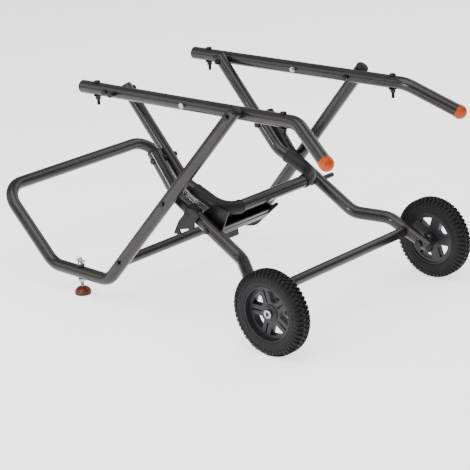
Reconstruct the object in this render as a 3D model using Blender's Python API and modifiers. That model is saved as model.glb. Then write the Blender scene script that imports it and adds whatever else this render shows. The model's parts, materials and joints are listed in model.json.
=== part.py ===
"""Folding table saw stand: two rails on a scissor of bent tubes, with two wheels.

X runs from the foot loop towards the wheels and handles, Y across the stand and Z up.
Every place is given from the point on the floor under the wheels' axle. An empty moves
that point so that the origin is the middle of the stand's footprint.
"""

import math

import bmesh
import bpy
from mathutils import Matrix, Quaternion, Vector

# General clearances
TOUCH_GAP = 0.0003
CUT_OVERRUN = 0.004
WELD_DISTANCE = 0.00001

# Tubes
FRAME_TUBE_D = 0.03175
BRACE_TUBE_D = 0.030
CROSS_TUBE_D = 0.0254
TUBE_SIDES = 16
BEND_STEP_ANGLE = math.radians(15)
SHARP_ANGLE = math.radians(35)

# Rails and handles
RAIL_HEIGHT = 0.5165
RAIL_SPACING = 0.4052
RAIL_START_X = -0.667
HANDLE_BEND_X = 0.007
HANDLE_BEND_R = 0.060
HANDLE_RUN = 0.115
HANDLE_DROP = 0.0625
HANDLE_SPREAD = 0.0474
CAP_D = 0.0352
CAP_SKIRT = 0.015
CAP_BORE_DEPTH = 0.011
PLUG_FLANGE = 0.0024
PLUG_DOME = 0.006
PLUG_DOME_ANGLES = (math.radians(30), math.radians(60))
CAP_DOME_STEPS = 6

# Places along the rails
SAW_STUD_X = (-0.620, -0.032)
RAIL_END_BOLT_X = -0.580
RAIL_MID_BOLT_X = -0.325
SAW_STUD_D = 0.008
SAW_STUD_FLANGE_D = 0.022
SAW_STUD_FLANGE = 0.003
SAW_STUD_NUT_D = 0.014
SAW_STUD_NUT = 0.007
SAW_STUD_DROP = 0.024
SAW_STUD_HEAD_D = 0.016
SAW_STUD_HEAD = 0.004

# Fold pivots, along the rails
LOOP_PIVOT_X = -0.160
BRACE_PIVOT_X = -0.548
LOOP_SIDE_GAP = 0.0016
BRACE_SIDE_GAP = 0.0007

# Foot loop
LOOP_END_OVERHANG = 0.018
LOOP_FRONT_X = -0.561
LOOP_FRONT_Z = 0.0543
LOOP_FRONT_Y = 0.2716
LOOP_REAR_X = -0.755
LOOP_REAR_Z = 0.061
LOOP_TOP_X = -0.929
LOOP_TOP_Z = 0.230
LOOP_TOP_Y = 0.264
LOOP_FRONT_BEND_R = 0.050
LOOP_REAR_BEND_R = 0.060
LOOP_TOP_BEND_R = 0.060
LEG_PIVOT_SHARE = 0.5062
STRETCHER_SHARE = 0.878

# Wheel legs
LEG_SPACER = 0.0111
LEG_END_OVERHANG = 0.020
LEG_BEND_R = 0.080
LEG_JOG_START_X = -0.1704
LEG_JOG_START_Z = 0.1647
LEG_JOG_END_X = -0.1004
LEG_JOG_END_Z = 0.1474
LEG_JOG_BEND_R = 0.050
LEG_AXLE_OVERHANG = 0.022
AXLE_TUBE_SHARE = 0.52

# Upper brace frame. Run is along the wheel leg from its pivot, rise is square to it.
BRACE_BEND_RUN = -0.02274
BRACE_BEND_RISE = 0.01606
BRACE_BEND_R = 0.070
BRACE_CORNER_RUN = 0.10852
BRACE_CORNER_RISE = 0.03529
BRACE_CORNER_R = 0.048
BRACE_END_OVERHANG = 0.012
OPEN_PIVOT_SHARE = 0.7126
SLEEVE_WALL = 0.0022
SLEEVE_RUN = 0.100
SLEEVE_CROSS_RUN = 0.052

# Wheels
WHEEL_R = 0.1016
TYRE_WIDTH = 0.044
WHEEL_SIDE_GAP = 0.008
WHEEL_Y = 0.312
WHEEL_SIDES = 56
HUB_SIDES = 32
TYRE_BORE_R = 0.066
TYRE_BEAD_HALF = 0.019
TREAD_HALF = 0.012
TREAD_DROP = 0.0046
SIDEWALL_R = 0.089
SIDEWALL_RIM_R = 0.077
LUG_COUNT = 28
LUG_NOTCH_WIDTH = 0.0085
LUG_NOTCH_DEPTH = 0.0055
LUG_NOTCH_START = 0.0085
RIM_WALL = 0.0035
WEB_FRONT_INNER = 0.007
WEB_FRONT_OUTER = 0.002
WEB_THICKNESS = 0.007
WEB_INNER_R = 0.020
BOSS_R = 0.017
BOSS_FRONT = 0.0095
SPOKE_COUNT = 5
SPOKE_WIDTH = 0.025
SPOKE_SLOT = 0.0044
SPOKE_SLOT_DEPTH = 0.0045
SPOKE_SLOT_INNER_R = 0.025
SPOKE_SLOT_OUTER_R = 0.054
OPENING_INNER_R = 0.026
OPENING_OUTER_R = 0.0575
OPENING_ARC_STEPS = 5
AXLE_D = 0.012
AXLE_RUNNING_GAP = 0.0001
AXLE_HEAD_D = 0.021
AXLE_HEAD = 0.006
AXLE_SOCKET_D = 0.008
AXLE_SOCKET_DEPTH = 0.0035
AXLE_WASHER = 0.002
AXLE_WASHER_D = 0.026
AXLE_NUT_D = 0.020

# Bolts through the tubes
BOLT_D = 0.008
BOLT_HOLE_GAP = 0.0005
BOLT_HEAD_D = 0.0150
BOLT_HEAD = 0.0055
BOLT_CHAMFER = 0.001
BOLT_SIDES = 6
STUD_SIDES = 10
SHANK_SIDES = 8
NUT = 0.0075
THIN_HEAD = 0.004
THIN_NUT = 0.005
BOLT_THREAD_END = 0.003
WASHER_D = 0.021
ROUND_SIDES = 16
SPRING_SIDES = 6
AXLE_SIDES = 20
BRACE_PIVOT_COLLAR = 0.012
BRACE_PIVOT_COLLAR_D = 0.0135
SPACER_D = 0.018

# Feet
FOOT_SHARE = 0.4948
FOOT_PAD_D = 0.042
FOOT_PAD_BASE = 0.006
FOOT_PAD_H = 0.021
FOOT_PAD_ANGLES = (math.radians(25), math.radians(45), math.radians(65))
FOOT_STUD_D = 0.010
FOOT_STUD_TOP = 0.100
FOOT_NUT_D = 0.020
FOOT_NUT = 0.007
FOOT_WING_NUT_D = 0.017
FOOT_WING_NUT = 0.009
FOOT_WING_SPAN = 0.034
FOOT_WING_THICK = 0.0035
FOOT_WING_H = 0.013
FOOT_WING_LIFT = 0.002
GROMMET_D = 0.020
GROMMET = 0.004
BLOCK_LENGTH = 0.057
BLOCK_TOP_LENGTH = 0.046
BLOCK_WIDTH = 0.036
BLOCK_CORNER_R = 0.004

# Release catch on the near wheel leg. Run is along the leg from its pivot, rise is square to it.
CATCH_PIVOT_RUN = 0.1155
CATCH_PLATE = 0.004
CATCH_SIDE_GAP = 0.0005
EAR_FOOT_DEPTH = 0.014
EAR_START_RUN = 0.066
EAR_START_RISE = 0.0054
EAR_BACK_RUN = 0.0836
EAR_BACK_RISE = 0.0436
EAR_TOP_RUN = 0.129
EAR_TOP_RISE = 0.0612
EAR_FRONT_RUN = 0.1350
CHANNEL_WIDTH = 0.027
CHANNEL_RISE = 0.010
CHANNEL_DEPTH = 0.028
CHANNEL_WALL = 0.0025
CHANNEL_END_Y = 0.0165
PEDAL_PLATE = 0.006
PEDAL_RUNS = (-0.0781, -0.0534, -0.0023, 0.0285, 0.0203, 0.0126, -0.0146, -0.0220)
PEDAL_RISES = (-0.0525, -0.0966, -0.0653, 0.0339, 0.0359, 0.0177, 0.0104, -0.0100)
PEDAL_CORNER_R = (0.010, 0.016, 0.040, 0.004, 0.003, 0.008, 0.003, 0.008)

# Saddle and hooked lever on the near wheel leg, and the lever's outline round its pin
SADDLE_START_RUN = 0.040
SADDLE_END_RUN = 0.0655
SADDLE_WALL = 0.0026
SADDLE_DROP = 0.009
SADDLE_ARC_STEPS = 8
LEVER_PIVOT_RUN = 0.053
LEVER_PLATE = 0.0045
LEVER_PIN_DEPTH = 0.010
LEVER_RUNS = (-0.007, 0.009, 0.032, 0.027, 0.0355, 0.028, 0.0184, -0.0022, 0.0086, -0.0123, -0.0145,
              -0.008)
LEVER_RISES = (0.018, 0.026, 0.024, -0.003, -0.0195, -0.0285, -0.0289, -0.0494, -0.0573, -0.0713,
               -0.0321, 0)

# Release spring
SPRING_COIL_R = 0.0051
SPRING_WIRE_D = 0.0018
SPRING_TURNS = 8
SPRING_POINTS_PER_TURN = 9
SPRING_RISE = 0.0164
SPRING_SIDE = 0.0155
SPRING_TAIL = 0.0022

# Fold stop on the far wheel leg
STOP_PEG_D = 0.012
STOP_PEG_LENGTH = 0.048
STOP_RUN = 0.095
STOP_RISE = -0.0060
STOP_COLLAR_D = 0.019
STOP_COLLAR = 0.006

FRAME_R = FRAME_TUBE_D / 2
BRACE_R = BRACE_TUBE_D / 2
CROSS_R = CROSS_TUBE_D / 2
RAIL_Y = RAIL_SPACING / 2
HANDLE_END = Vector((HANDLE_BEND_X + HANDLE_RUN, 0, RAIL_HEIGHT - HANDLE_DROP))
LOOP_PIVOT = Vector((LOOP_PIVOT_X, 0, RAIL_HEIGHT))
BRACE_PIVOT = Vector((BRACE_PIVOT_X, 0, RAIL_HEIGHT))
LOOP_Y = RAIL_Y + FRAME_R + LOOP_SIDE_GAP + FRAME_R
BRACE_Y = RAIL_Y - FRAME_R - BRACE_SIDE_GAP - BRACE_R
LOOP_FRONT = Vector((LOOP_FRONT_X, 0, LOOP_FRONT_Z))
LEG_PIVOT = LOOP_PIVOT.lerp(LOOP_FRONT, LEG_PIVOT_SHARE)
LOOP_Y_AT_LEG = LOOP_Y + (LOOP_FRONT_Y - LOOP_Y) * LEG_PIVOT_SHARE
LEG_Y = LOOP_Y_AT_LEG - FRAME_R - LEG_SPACER - FRAME_R
AXLE = Vector((0, 0, WHEEL_R))
AXLE_LEG_Y = WHEEL_Y - TYRE_WIDTH / 2 - WHEEL_SIDE_GAP - FRAME_R
LEG_JOG_START = Vector((LEG_JOG_START_X, 0, LEG_JOG_START_Z))
LEG_JOG_END = Vector((LEG_JOG_END_X, 0, LEG_JOG_END_Z))
LEG_RUN_AXIS = (LEG_JOG_START - LEG_PIVOT).normalized()
LEG_RISE_AXIS = Vector((-LEG_RUN_AXIS.z, 0, LEG_RUN_AXIS.x))
BRACE_BEND = LEG_PIVOT + LEG_RUN_AXIS * BRACE_BEND_RUN + LEG_RISE_AXIS * BRACE_BEND_RISE
BRACE_CORNER = LEG_PIVOT + LEG_RUN_AXIS * BRACE_CORNER_RUN + LEG_RISE_AXIS * BRACE_CORNER_RISE
OPEN_PIVOT = BRACE_PIVOT.lerp(BRACE_BEND, OPEN_PIVOT_SHARE)
CATCH_PIVOT = LEG_PIVOT + LEG_RUN_AXIS * CATCH_PIVOT_RUN
FOOTPRINT_MIN_X = LOOP_TOP_X - FRAME_R
HANDLE_SLOPE = Vector((HANDLE_RUN, HANDLE_SPREAD, -HANDLE_DROP)).normalized()
FOOTPRINT_MAX_X = HANDLE_END.x + HANDLE_SLOPE.x * (CAP_SKIRT - CAP_BORE_DEPTH) + CAP_D / 2
CENTRE_X = (FOOTPRINT_MIN_X + FOOTPRINT_MAX_X) / 2
SPLAY_SLOPE = (LOOP_FRONT_Y - LOOP_Y) / (LOOP_PIVOT - LOOP_FRONT).length
SPLAY_GAP = TOUCH_GAP + SPLAY_SLOPE * BOLT_HEAD_D / 2
STRETCHER_PLACE = LOOP_PIVOT.lerp(LOOP_FRONT, STRETCHER_SHARE)
STRETCHER_Y = LOOP_Y + (LOOP_FRONT_Y - LOOP_Y) * STRETCHER_SHARE
LOOP_REAR = Vector((LOOP_REAR_X, 0, LOOP_REAR_Z))
FOOT_TUBE_PLACE = LOOP_FRONT.lerp(LOOP_REAR, FOOT_SHARE)
FOOT_RUN_SLOPE = (LOOP_REAR_Z - LOOP_FRONT_Z) / (LOOP_FRONT_X - LOOP_REAR_X)
TUBE_SLOPE_GAP = TOUCH_GAP + FOOT_RUN_SLOPE * FOOT_NUT_D / 2
BOLT_HOLE_R = BOLT_D / 2 + BOLT_HOLE_GAP
STUD_HOLE_R = SAW_STUD_D / 2 + BOLT_HOLE_GAP
SIDES = {"near": -1, "far": 1}


def clear_scene():
    """Remove whatever the file holds."""
    for old in list(bpy.data.objects):
        bpy.data.objects.remove(old, do_unlink=True)


def make_collection(name):
    """Return a new collection linked to the scene."""
    collection = bpy.data.collections.new(name)
    bpy.context.scene.collection.children.link(collection)
    return collection


def make_material(name, color, roughness, metallic):
    """Return a Principled material."""
    material = bpy.data.materials.new(name)
    material.use_nodes = True
    shader = material.node_tree.nodes["Principled BSDF"]
    shader.inputs["Base Color"].default_value = (*color, 1)
    shader.inputs["Roughness"].default_value = roughness
    shader.inputs["Metallic"].default_value = metallic
    return material


def make_pivot(name, place, parent=None):
    """Return an empty on a joint's axis, placed in the stand's own coordinates."""
    empty = bpy.data.objects.new(name, None)
    empty.empty_display_size = FRAME_R
    parts.objects.link(empty)
    empty.parent = parent
    empty.location = place - (true_place(parent) if parent else Vector((0, 0, 0)))
    return empty


def true_place(empty):
    """Return where an empty lies in the stand's own coordinates."""
    place = Vector((0, 0, 0))
    while empty is not None and empty is not stand:
        place += empty.location
        empty = empty.parent
    return place


def attach(obj, pivot, material):
    """Hang a piece, whose points are in the stand's coordinates, on its pivot."""
    obj.parent = pivot
    obj.location = -true_place(pivot)
    obj.data.materials.clear()
    obj.data.materials.append(material)
    if obj.type == "MESH":
        obj.data.shade_smooth()
        obj.data.set_sharp_from_angle(angle=SHARP_ANGLE)
    return obj


def side(place, y):
    """Return a point of the side view moved to the given Y."""
    return Vector((place.x, y, place.z))


def leg_point(run, rise):
    """Return a place given along the wheel leg and square to it."""
    return LEG_PIVOT + LEG_RUN_AXIS * run + LEG_RISE_AXIS * rise


def bent_path(corners, radii):
    """Return points of straight runs joined by arcs of the given radii."""
    points = [corners[0]]
    for before, corner, after, radius in zip(corners, corners[1:], corners[2:], radii):
        back = (before - corner).normalized()
        ahead = (after - corner).normalized()
        half = back.angle(ahead) / 2
        centre = corner + (back + ahead).normalized() * radius / math.sin(half)
        spoke = corner + back * radius / math.tan(half) - centre
        sweep = math.pi - 2 * half
        axis = ahead.cross(back)
        steps = max(2, math.ceil(sweep / BEND_STEP_ANGLE))
        for step in range(steps + 1):
            points.append(centre + Quaternion(axis, sweep * step / steps) @ spoke)
    points.append(corners[-1])
    return points


def mirrored(points):
    """Return the same points on the other side of the middle plane."""
    return [Vector((point.x, -point.y, point.z)) for point in points]


def curve_tube(name, points, radius, sides=TUBE_SIDES):
    """Return a round tube as a bevelled curve with filled ends."""
    curve = bpy.data.curves.new(name, "CURVE")
    curve.dimensions = "3D"
    curve.bevel_depth = radius
    curve.bevel_resolution = (sides - 4) // 2
    curve.use_fill_caps = True
    spline = curve.splines.new("POLY")
    spline.points.add(len(points) - 1)
    for control, point in zip(spline.points, points):
        control.co = (*point, 1)
    tube = bpy.data.objects.new(name, curve)
    parts.objects.link(tube)
    return tube


def outline_plate(name, outline, thickness):
    """Return a flat plate: a 2D outline, filled and extruded both ways from its plane."""
    curve = bpy.data.curves.new(name, "CURVE")
    curve.dimensions = "2D"
    curve.fill_mode = "BOTH"
    curve.extrude = thickness / 2
    spline = curve.splines.new("POLY")
    spline.points.add(len(outline) - 1)
    for control, (across, up) in zip(spline.points, outline):
        control.co = (across, up, 0, 1)
    spline.use_cyclic_u = True
    plate = bpy.data.objects.new(name, curve)
    parts.objects.link(plate)
    return plate


def turned(name, profile, sides, closed=False):
    """Return a turned shape about its own Z axis from a profile at +X."""
    mesh = bpy.data.meshes.new(name)
    edges = [(index, index + 1) for index in range(len(profile) - 1)]
    if closed:
        edges.append((len(profile) - 1, 0))
    mesh.from_pydata([(radius, 0, height) for radius, height in profile], edges, [])
    piece = bpy.data.objects.new(name, mesh)
    parts.objects.link(piece)
    screw = piece.modifiers.new("turn", "SCREW")
    screw.axis = "Z"
    screw.steps = sides
    screw.render_steps = sides
    screw.use_merge_vertices = True
    screw.merge_threshold = WELD_DISTANCE
    return piece


def mesh_of(obj):
    """Return an object's finished mesh, welded, in the stand's coordinates."""
    bpy.context.view_layer.update()
    graph = bpy.context.evaluated_depsgraph_get()
    mesh = bpy.data.meshes.new_from_object(obj.evaluated_get(graph))
    mesh.transform(obj.matrix_world)
    shape = bmesh.new()
    shape.from_mesh(mesh)
    bmesh.ops.remove_doubles(shape, verts=shape.verts, dist=WELD_DISTANCE)
    shape.to_mesh(mesh)
    shape.free()
    return mesh


def gather(name, pieces):
    """Replace temporary objects by one mesh object that holds them as separate solids."""
    shape = bmesh.new()
    for piece in pieces:
        shape.from_mesh(mesh_of(piece))
        bpy.data.objects.remove(piece)
    mesh = bpy.data.meshes.new(name)
    shape.to_mesh(mesh)
    shape.free()
    joined = bpy.data.objects.new(name, mesh)
    parts.objects.link(joined)
    return joined


def stand_along(obj, place, direction):
    """Turn a piece's own Z axis to a direction and put its origin at a place."""
    turn = Vector((0, 0, 1)).rotation_difference(direction).to_matrix().to_4x4()
    obj.matrix_world = Matrix.Translation(place) @ turn
    return obj


def across_stand(obj, y):
    """Stand a plate, whose outline is in X and Z, across the stand at the given Y."""
    obj.matrix_world = Matrix.Translation((0, y, 0)) @ Matrix.Rotation(math.radians(90), 4, "X")
    return obj


def rod(name, start, end, radius, sides=ROUND_SIDES):
    """Return a plain round bar between two points."""
    mesh = bpy.data.meshes.new(name)
    shape = bmesh.new()
    bmesh.ops.create_cone(
        shape, cap_ends=True, segments=sides, radius1=radius, radius2=radius,
        depth=(end - start).length)
    shape.to_mesh(mesh)
    shape.free()
    bar = bpy.data.objects.new(name, mesh)
    parts.objects.link(bar)
    return stand_along(bar, (start + end) / 2, (end - start).normalized())


def block(name, size, place):
    """Return a plain box."""
    mesh = bpy.data.meshes.new(name)
    shape = bmesh.new()
    bmesh.ops.create_cube(shape, size=1)
    bmesh.ops.scale(shape, vec=size, verts=shape.verts)
    shape.to_mesh(mesh)
    shape.free()
    box = bpy.data.objects.new(name, mesh)
    parts.objects.link(box)
    box.location = place
    return box


def combine(obj, tool, operation):
    """Cut or join a piece with a tool, which is kept out of the model."""
    parts.objects.unlink(tool)
    cutters.objects.link(tool)
    tool.hide_render = True
    tool.display_type = "WIRE"
    tool.parent = obj.parent
    if obj.parent:
        tool.location = -true_place(obj.parent)
    boolean = obj.modifiers.new(tool.name, "BOOLEAN")
    boolean.operation = operation
    boolean.solver = "EXACT"
    boolean.object = tool
    return obj


def drill(obj, name, places, length, radius):
    """Drill cross holes along Y through a piece at the given places."""
    half = Vector((0, length / 2, 0))
    tools = [rod(f"{name}_{index}", place - half, place + half, radius, TUBE_SIDES)
             for index, place in enumerate(places)]
    return combine(obj, gather(name, tools), "DIFFERENCE")


def hexagon(name, place, outward, height, width=BOLT_HEAD_D):
    """Return a chamfered hexagon, a bolt's head or a nut, that stands outwards from a place."""
    profile = [
        (0, height),
        (width / 2 - BOLT_CHAMFER, height),
        (width / 2, height - BOLT_CHAMFER),
        (width / 2, 0),
        (0, 0),
    ]
    return stand_along(turned(name, profile, BOLT_SIDES), place, outward)


def bolt(name, pivot, material, head_place, outward, nut_place=None, collars=(), thin=False):
    """Build a bolt with its nut and spacers as one piece; its head rests at the place.

    Each collar is a start and an end along Y and a diameter.
    """
    tools = [hexagon("head", head_place, outward, THIN_HEAD if thin else BOLT_HEAD)]
    tip = head_place - outward * FRAME_TUBE_D
    if nut_place is not None:
        height = THIN_NUT if thin else NUT
        tools.append(hexagon("nut", nut_place, -outward, height))
        tip = nut_place - outward * (height / 2 if thin else height + BOLT_THREAD_END)
    for start_y, end_y, collar_d in collars:
        tools.append(rod("collar", side(head_place, start_y), side(head_place, end_y),
                         collar_d / 2))
    start = head_place + outward * THIN_HEAD / 2
    shank = attach(gather(name, [rod("shank", start, tip, BOLT_D / 2, SHANK_SIDES)]), pivot, material)
    for index, tool in enumerate(tools):
        combine(shank, gather(f"{name}_fitting_{index}", [tool]), "UNION")
    return shank


def ring(name, place, outward, inner_d, outer_d, height, sides=ROUND_SIDES, chamfer=0):
    """Return a washer, spacer or nut that stands outwards from the place."""
    profile = [(inner_d / 2, height), (outer_d / 2 - chamfer, height)]
    if chamfer:
        profile.append((outer_d / 2, height - chamfer))
    profile.append((outer_d / 2, 0))
    profile.append((inner_d / 2, 0))
    return stand_along(turned(name, profile, sides, closed=True), place, outward)


def place_name(end, x):
    """Return a name for a fitting at one end of the stand."""
    return f"{'rear' if x < LOOP_PIVOT_X else 'front'}_{end}"


def dome_plug(name, place, outward, tube_d):
    """Return the rounded end plug of a tube."""
    rim = tube_d / 2
    profile = [(0, PLUG_FLANGE + PLUG_DOME)]
    profile += [(rim * math.sin(turn), PLUG_FLANGE + PLUG_DOME * math.cos(turn))
                for turn in PLUG_DOME_ANGLES]
    profile += [(rim, PLUG_FLANGE), (rim, 0), (0, 0)]
    return stand_along(turned(name, profile, ROUND_SIDES), place + outward * TOUCH_GAP, outward)


def build_rail(end, y_sign):
    """Build one rail, drilled for its bolts, with its handle bent out and down."""
    y = y_sign * RAIL_Y
    path = bent_path(
        [
            Vector((RAIL_START_X, y, RAIL_HEIGHT)),
            Vector((HANDLE_BEND_X, y, RAIL_HEIGHT)),
            side(HANDLE_END, y_sign * (RAIL_Y + HANDLE_SPREAD)),
        ],
        [HANDLE_BEND_R])
    rail = gather(f"rail_{end}", [curve_tube("rail_tube", path, FRAME_R)])
    attach(rail, rail_frame, tube_paint)
    cross_places = [
        Vector((x, y, RAIL_HEIGHT))
        for x in (BRACE_PIVOT_X, LOOP_PIVOT_X, RAIL_END_BOLT_X, RAIL_MID_BOLT_X)]
    drill(rail, f"rail_{end}_holes", cross_places, FRAME_TUBE_D + CUT_OVERRUN, BOLT_HOLE_R)
    reach = Vector((0, 0, FRAME_R + CUT_OVERRUN))
    tools = [
        rod(f"rail_{end}_stud_hole_{index}", Vector((x, y, RAIL_HEIGHT)) - reach,
            Vector((x, y, RAIL_HEIGHT)) + reach, STUD_HOLE_R, TUBE_SIDES)
        for index, x in enumerate(SAW_STUD_X)]
    combine(rail, gather(f"rail_{end}_stud_holes", tools), "DIFFERENCE")
    plug_place = Vector((RAIL_START_X, y, RAIL_HEIGHT))
    plug = gather(f"rail_plug_{end}",
                  [dome_plug("plug", plug_place, Vector((-1, 0, 0)), FRAME_TUBE_D)])
    attach(plug, rail_frame, black_plastic)


def build_handle_cap(end, y_sign):
    """Build the domed cap that sleeves the handle's end."""
    bend = Vector((HANDLE_BEND_X, y_sign * RAIL_Y, RAIL_HEIGHT))
    tip = side(HANDLE_END, y_sign * (RAIL_Y + HANDLE_SPREAD))
    outward = (tip - bend).normalized()
    bore = FRAME_R + TOUCH_GAP
    cap_r = CAP_D / 2
    arc = [math.pi / 2 * step / CAP_DOME_STEPS for step in range(CAP_DOME_STEPS)]
    profile = [(0, cap_r)]
    profile += [(cap_r * math.sin(turn), cap_r * math.cos(turn)) for turn in arc[1:]]
    profile += [
        (cap_r, 0),
        (cap_r, -CAP_SKIRT),
        (bore, -CAP_SKIRT),
        (bore, TOUCH_GAP - CAP_SKIRT + CAP_BORE_DEPTH),
        (0, TOUCH_GAP - CAP_SKIRT + CAP_BORE_DEPTH),
    ]
    place = tip + outward * (CAP_SKIRT - CAP_BORE_DEPTH)
    cap = stand_along(turned("cap", profile, ROUND_SIDES), place, outward)
    attach(gather(f"handle_cap_{end}", [cap]), rail_frame, orange_plastic)


def build_saw_studs():
    """Build the studs that hold the saw: a low head on each rail, a flanged nut below."""
    stud_r = SAW_STUD_D / 2
    top = FRAME_R + TOUCH_GAP
    nut_top = -top - SAW_STUD_FLANGE
    profile = [
        (0, top + SAW_STUD_HEAD),
        (SAW_STUD_HEAD_D / 2 - BOLT_CHAMFER, top + SAW_STUD_HEAD),
        (SAW_STUD_HEAD_D / 2, top + BOLT_CHAMFER),
        (SAW_STUD_HEAD_D / 2, top),
        (stud_r, top),
        (stud_r, -top),
        (SAW_STUD_FLANGE_D / 2, -top),
        (SAW_STUD_FLANGE_D / 2, nut_top),
        (SAW_STUD_NUT_D / 2, nut_top),
        (SAW_STUD_NUT_D / 2, nut_top - SAW_STUD_NUT),
        (stud_r, nut_top - SAW_STUD_NUT),
        (stud_r, -FRAME_R - SAW_STUD_DROP),
        (0, -FRAME_R - SAW_STUD_DROP),
    ]
    for end, y_sign in SIDES.items():
        for x in SAW_STUD_X:
            stud = turned("stud", profile, STUD_SIDES)
            stud.location = Vector((x, y_sign * RAIL_Y, RAIL_HEIGHT))
            attach(gather(f"saw_stud_{place_name(end, x)}", [stud]), rail_frame, black_steel)


def build_rail_bolts(end, y_sign):
    """Build the short bolts across one rail's end and middle, with their nuts inside."""
    outward = Vector((0, y_sign, 0))
    for name, x, finish in (
            (f"rail_end_bolt_{end}", RAIL_END_BOLT_X, black_steel),
            (f"rail_middle_bolt_{end}", RAIL_MID_BOLT_X, bright_steel)):
        face = Vector((x, y_sign * (RAIL_Y + FRAME_R + TOUCH_GAP), RAIL_HEIGHT))
        inside = side(face, y_sign * (RAIL_Y - FRAME_R - TOUCH_GAP))
        bolt(name, rail_frame, finish, face, outward, inside)


def build_brace_pivot_bolt(end, y_sign):
    """Build the bolt on which the brace frame turns, with the long collar outside the rail."""
    outward = Vector((0, y_sign, 0))
    face_y = y_sign * (RAIL_Y + FRAME_R + TOUCH_GAP)
    collar_end_y = face_y + y_sign * BRACE_PIVOT_COLLAR
    inside = side(BRACE_PIVOT, y_sign * (BRACE_Y - BRACE_R - TOUCH_GAP))
    bolt(f"brace_pivot_bolt_{end}", rail_frame, black_steel, side(BRACE_PIVOT, collar_end_y), outward,
         inside, [(face_y, collar_end_y + y_sign * BOLT_HEAD / 2, BRACE_PIVOT_COLLAR_D)])


def loop_side(y_sign):
    """Return the corners of one side of the foot loop, from its free end to the cross bar."""
    top = side(LOOP_PIVOT, y_sign * LOOP_Y)
    front = side(LOOP_FRONT, y_sign * LOOP_FRONT_Y)
    return [
        top + (top - front).normalized() * LOOP_END_OVERHANG,
        front,
        Vector((LOOP_REAR_X, y_sign * LOOP_FRONT_Y, LOOP_REAR_Z)),
        Vector((LOOP_TOP_X, y_sign * LOOP_TOP_Y, LOOP_TOP_Z)),
    ]


def build_foot_loop():
    """Build the long bent tube that makes both front legs, both foot runs and the cross bar."""
    near = loop_side(SIDES["near"])
    far = loop_side(SIDES["far"])
    radii = [LOOP_FRONT_BEND_R, LOOP_REAR_BEND_R, LOOP_TOP_BEND_R]
    path = bent_path(near + far[::-1], radii + radii[::-1])
    loop = gather("foot_loop", [curve_tube("loop_tube", path, FRAME_R)])
    attach(loop, loop_pivot, tube_paint)
    hole_length = FRAME_TUBE_D + 2 * CUT_OVERRUN
    places = []
    for y_sign in SIDES.values():
        places.append(side(LOOP_PIVOT, y_sign * LOOP_Y))
        places.append(side(LEG_PIVOT, y_sign * LOOP_Y_AT_LEG))
        places.append(side(STRETCHER_PLACE, y_sign * STRETCHER_Y))
    drill(loop, "foot_loop_holes", places, hole_length, BOLT_HOLE_R)
    reach = Vector((0, 0, FRAME_R + CUT_OVERRUN))
    centre = side(FOOT_TUBE_PLACE, SIDES["near"] * LOOP_FRONT_Y)
    stud_hole = rod("foot_stud_hole", centre - reach, centre + reach,
                    FOOT_STUD_D / 2 + BOLT_HOLE_GAP, TUBE_SIDES)
    combine(loop, gather("foot_stud_hole_tool", [stud_hole]), "DIFFERENCE")
    for end, corners in (("near", near), ("far", far)):
        outward = (corners[0] - corners[1]).normalized()
        plug = dome_plug("plug", corners[0], outward, FRAME_TUBE_D)
        attach(gather(f"foot_loop_plug_{end}", [plug]), loop_pivot, black_plastic)


def build_loop_pivot_bolt(end, y_sign):
    """Build the bolt that joins the foot loop to a rail, with its spacing washer."""
    outward = Vector((0, y_sign, 0))
    face = side(LOOP_PIVOT, y_sign * (LOOP_Y + FRAME_R + SPLAY_GAP))
    inside = side(LOOP_PIVOT, y_sign * (RAIL_Y - FRAME_R - TOUCH_GAP))
    washer_start = y_sign * (RAIL_Y + FRAME_R + TOUCH_GAP)
    washer_end = y_sign * (LOOP_Y - FRAME_R - SPLAY_GAP)
    bolt(f"loop_pivot_bolt_{end}", loop_pivot, black_steel, face, outward, inside,
         [(washer_start, washer_end, WASHER_D)])


def build_stretcher():
    """Build the cross tube low on the foot loop, its ends shaped to the legs."""
    half = Vector((0, STRETCHER_Y, 0))
    bar = gather("stretcher", [rod("bar", STRETCHER_PLACE - half, STRETCHER_PLACE + half,
                                   CROSS_R, TUBE_SIDES)])
    attach(bar, loop_pivot, tube_paint)
    copes = []
    for y_sign in SIDES.values():
        top = side(LOOP_PIVOT, y_sign * LOOP_Y)
        front = side(LOOP_FRONT, y_sign * LOOP_FRONT_Y)
        copes.append(rod("cope", top, front, FRAME_R + TOUCH_GAP, ROUND_SIDES))
    combine(bar, gather("stretcher_copes", copes), "DIFFERENCE")
    for end, y_sign in SIDES.items():
        face = side(STRETCHER_PLACE, y_sign * (STRETCHER_Y + FRAME_R + SPLAY_GAP))
        bolt(f"stretcher_bolt_{end}", loop_pivot, black_steel, face, Vector((0, y_sign, 0)))


def build_fixed_foot():
    """Build the far foot, a rubber block seated under the loop's tube."""
    tube = side(FOOT_TUBE_PLACE, SIDES["far"] * LOOP_FRONT_Y)
    half = BLOCK_LENGTH / 2
    half_top = BLOCK_TOP_LENGTH / 2
    outline = [
        (tube.x - half, 0),
        (tube.x + half, 0),
        (tube.x + half, BLOCK_CORNER_R),
        (tube.x + half_top, tube.z),
        (tube.x - half_top, tube.z),
        (tube.x - half, BLOCK_CORNER_R),
    ]
    foot = gather("fixed_foot", [across_stand(outline_plate("block", outline, BLOCK_WIDTH), tube.y)])
    attach(foot, loop_pivot, foot_rubber)
    start = Vector((LOOP_FRONT_X, tube.y, LOOP_FRONT_Z))
    end = Vector((LOOP_REAR_X, tube.y, LOOP_REAR_Z))
    seat = gather("fixed_foot_seat", [rod("seat", start, end, FRAME_R + TOUCH_GAP, ROUND_SIDES)])
    combine(foot, seat, "DIFFERENCE")


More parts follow.
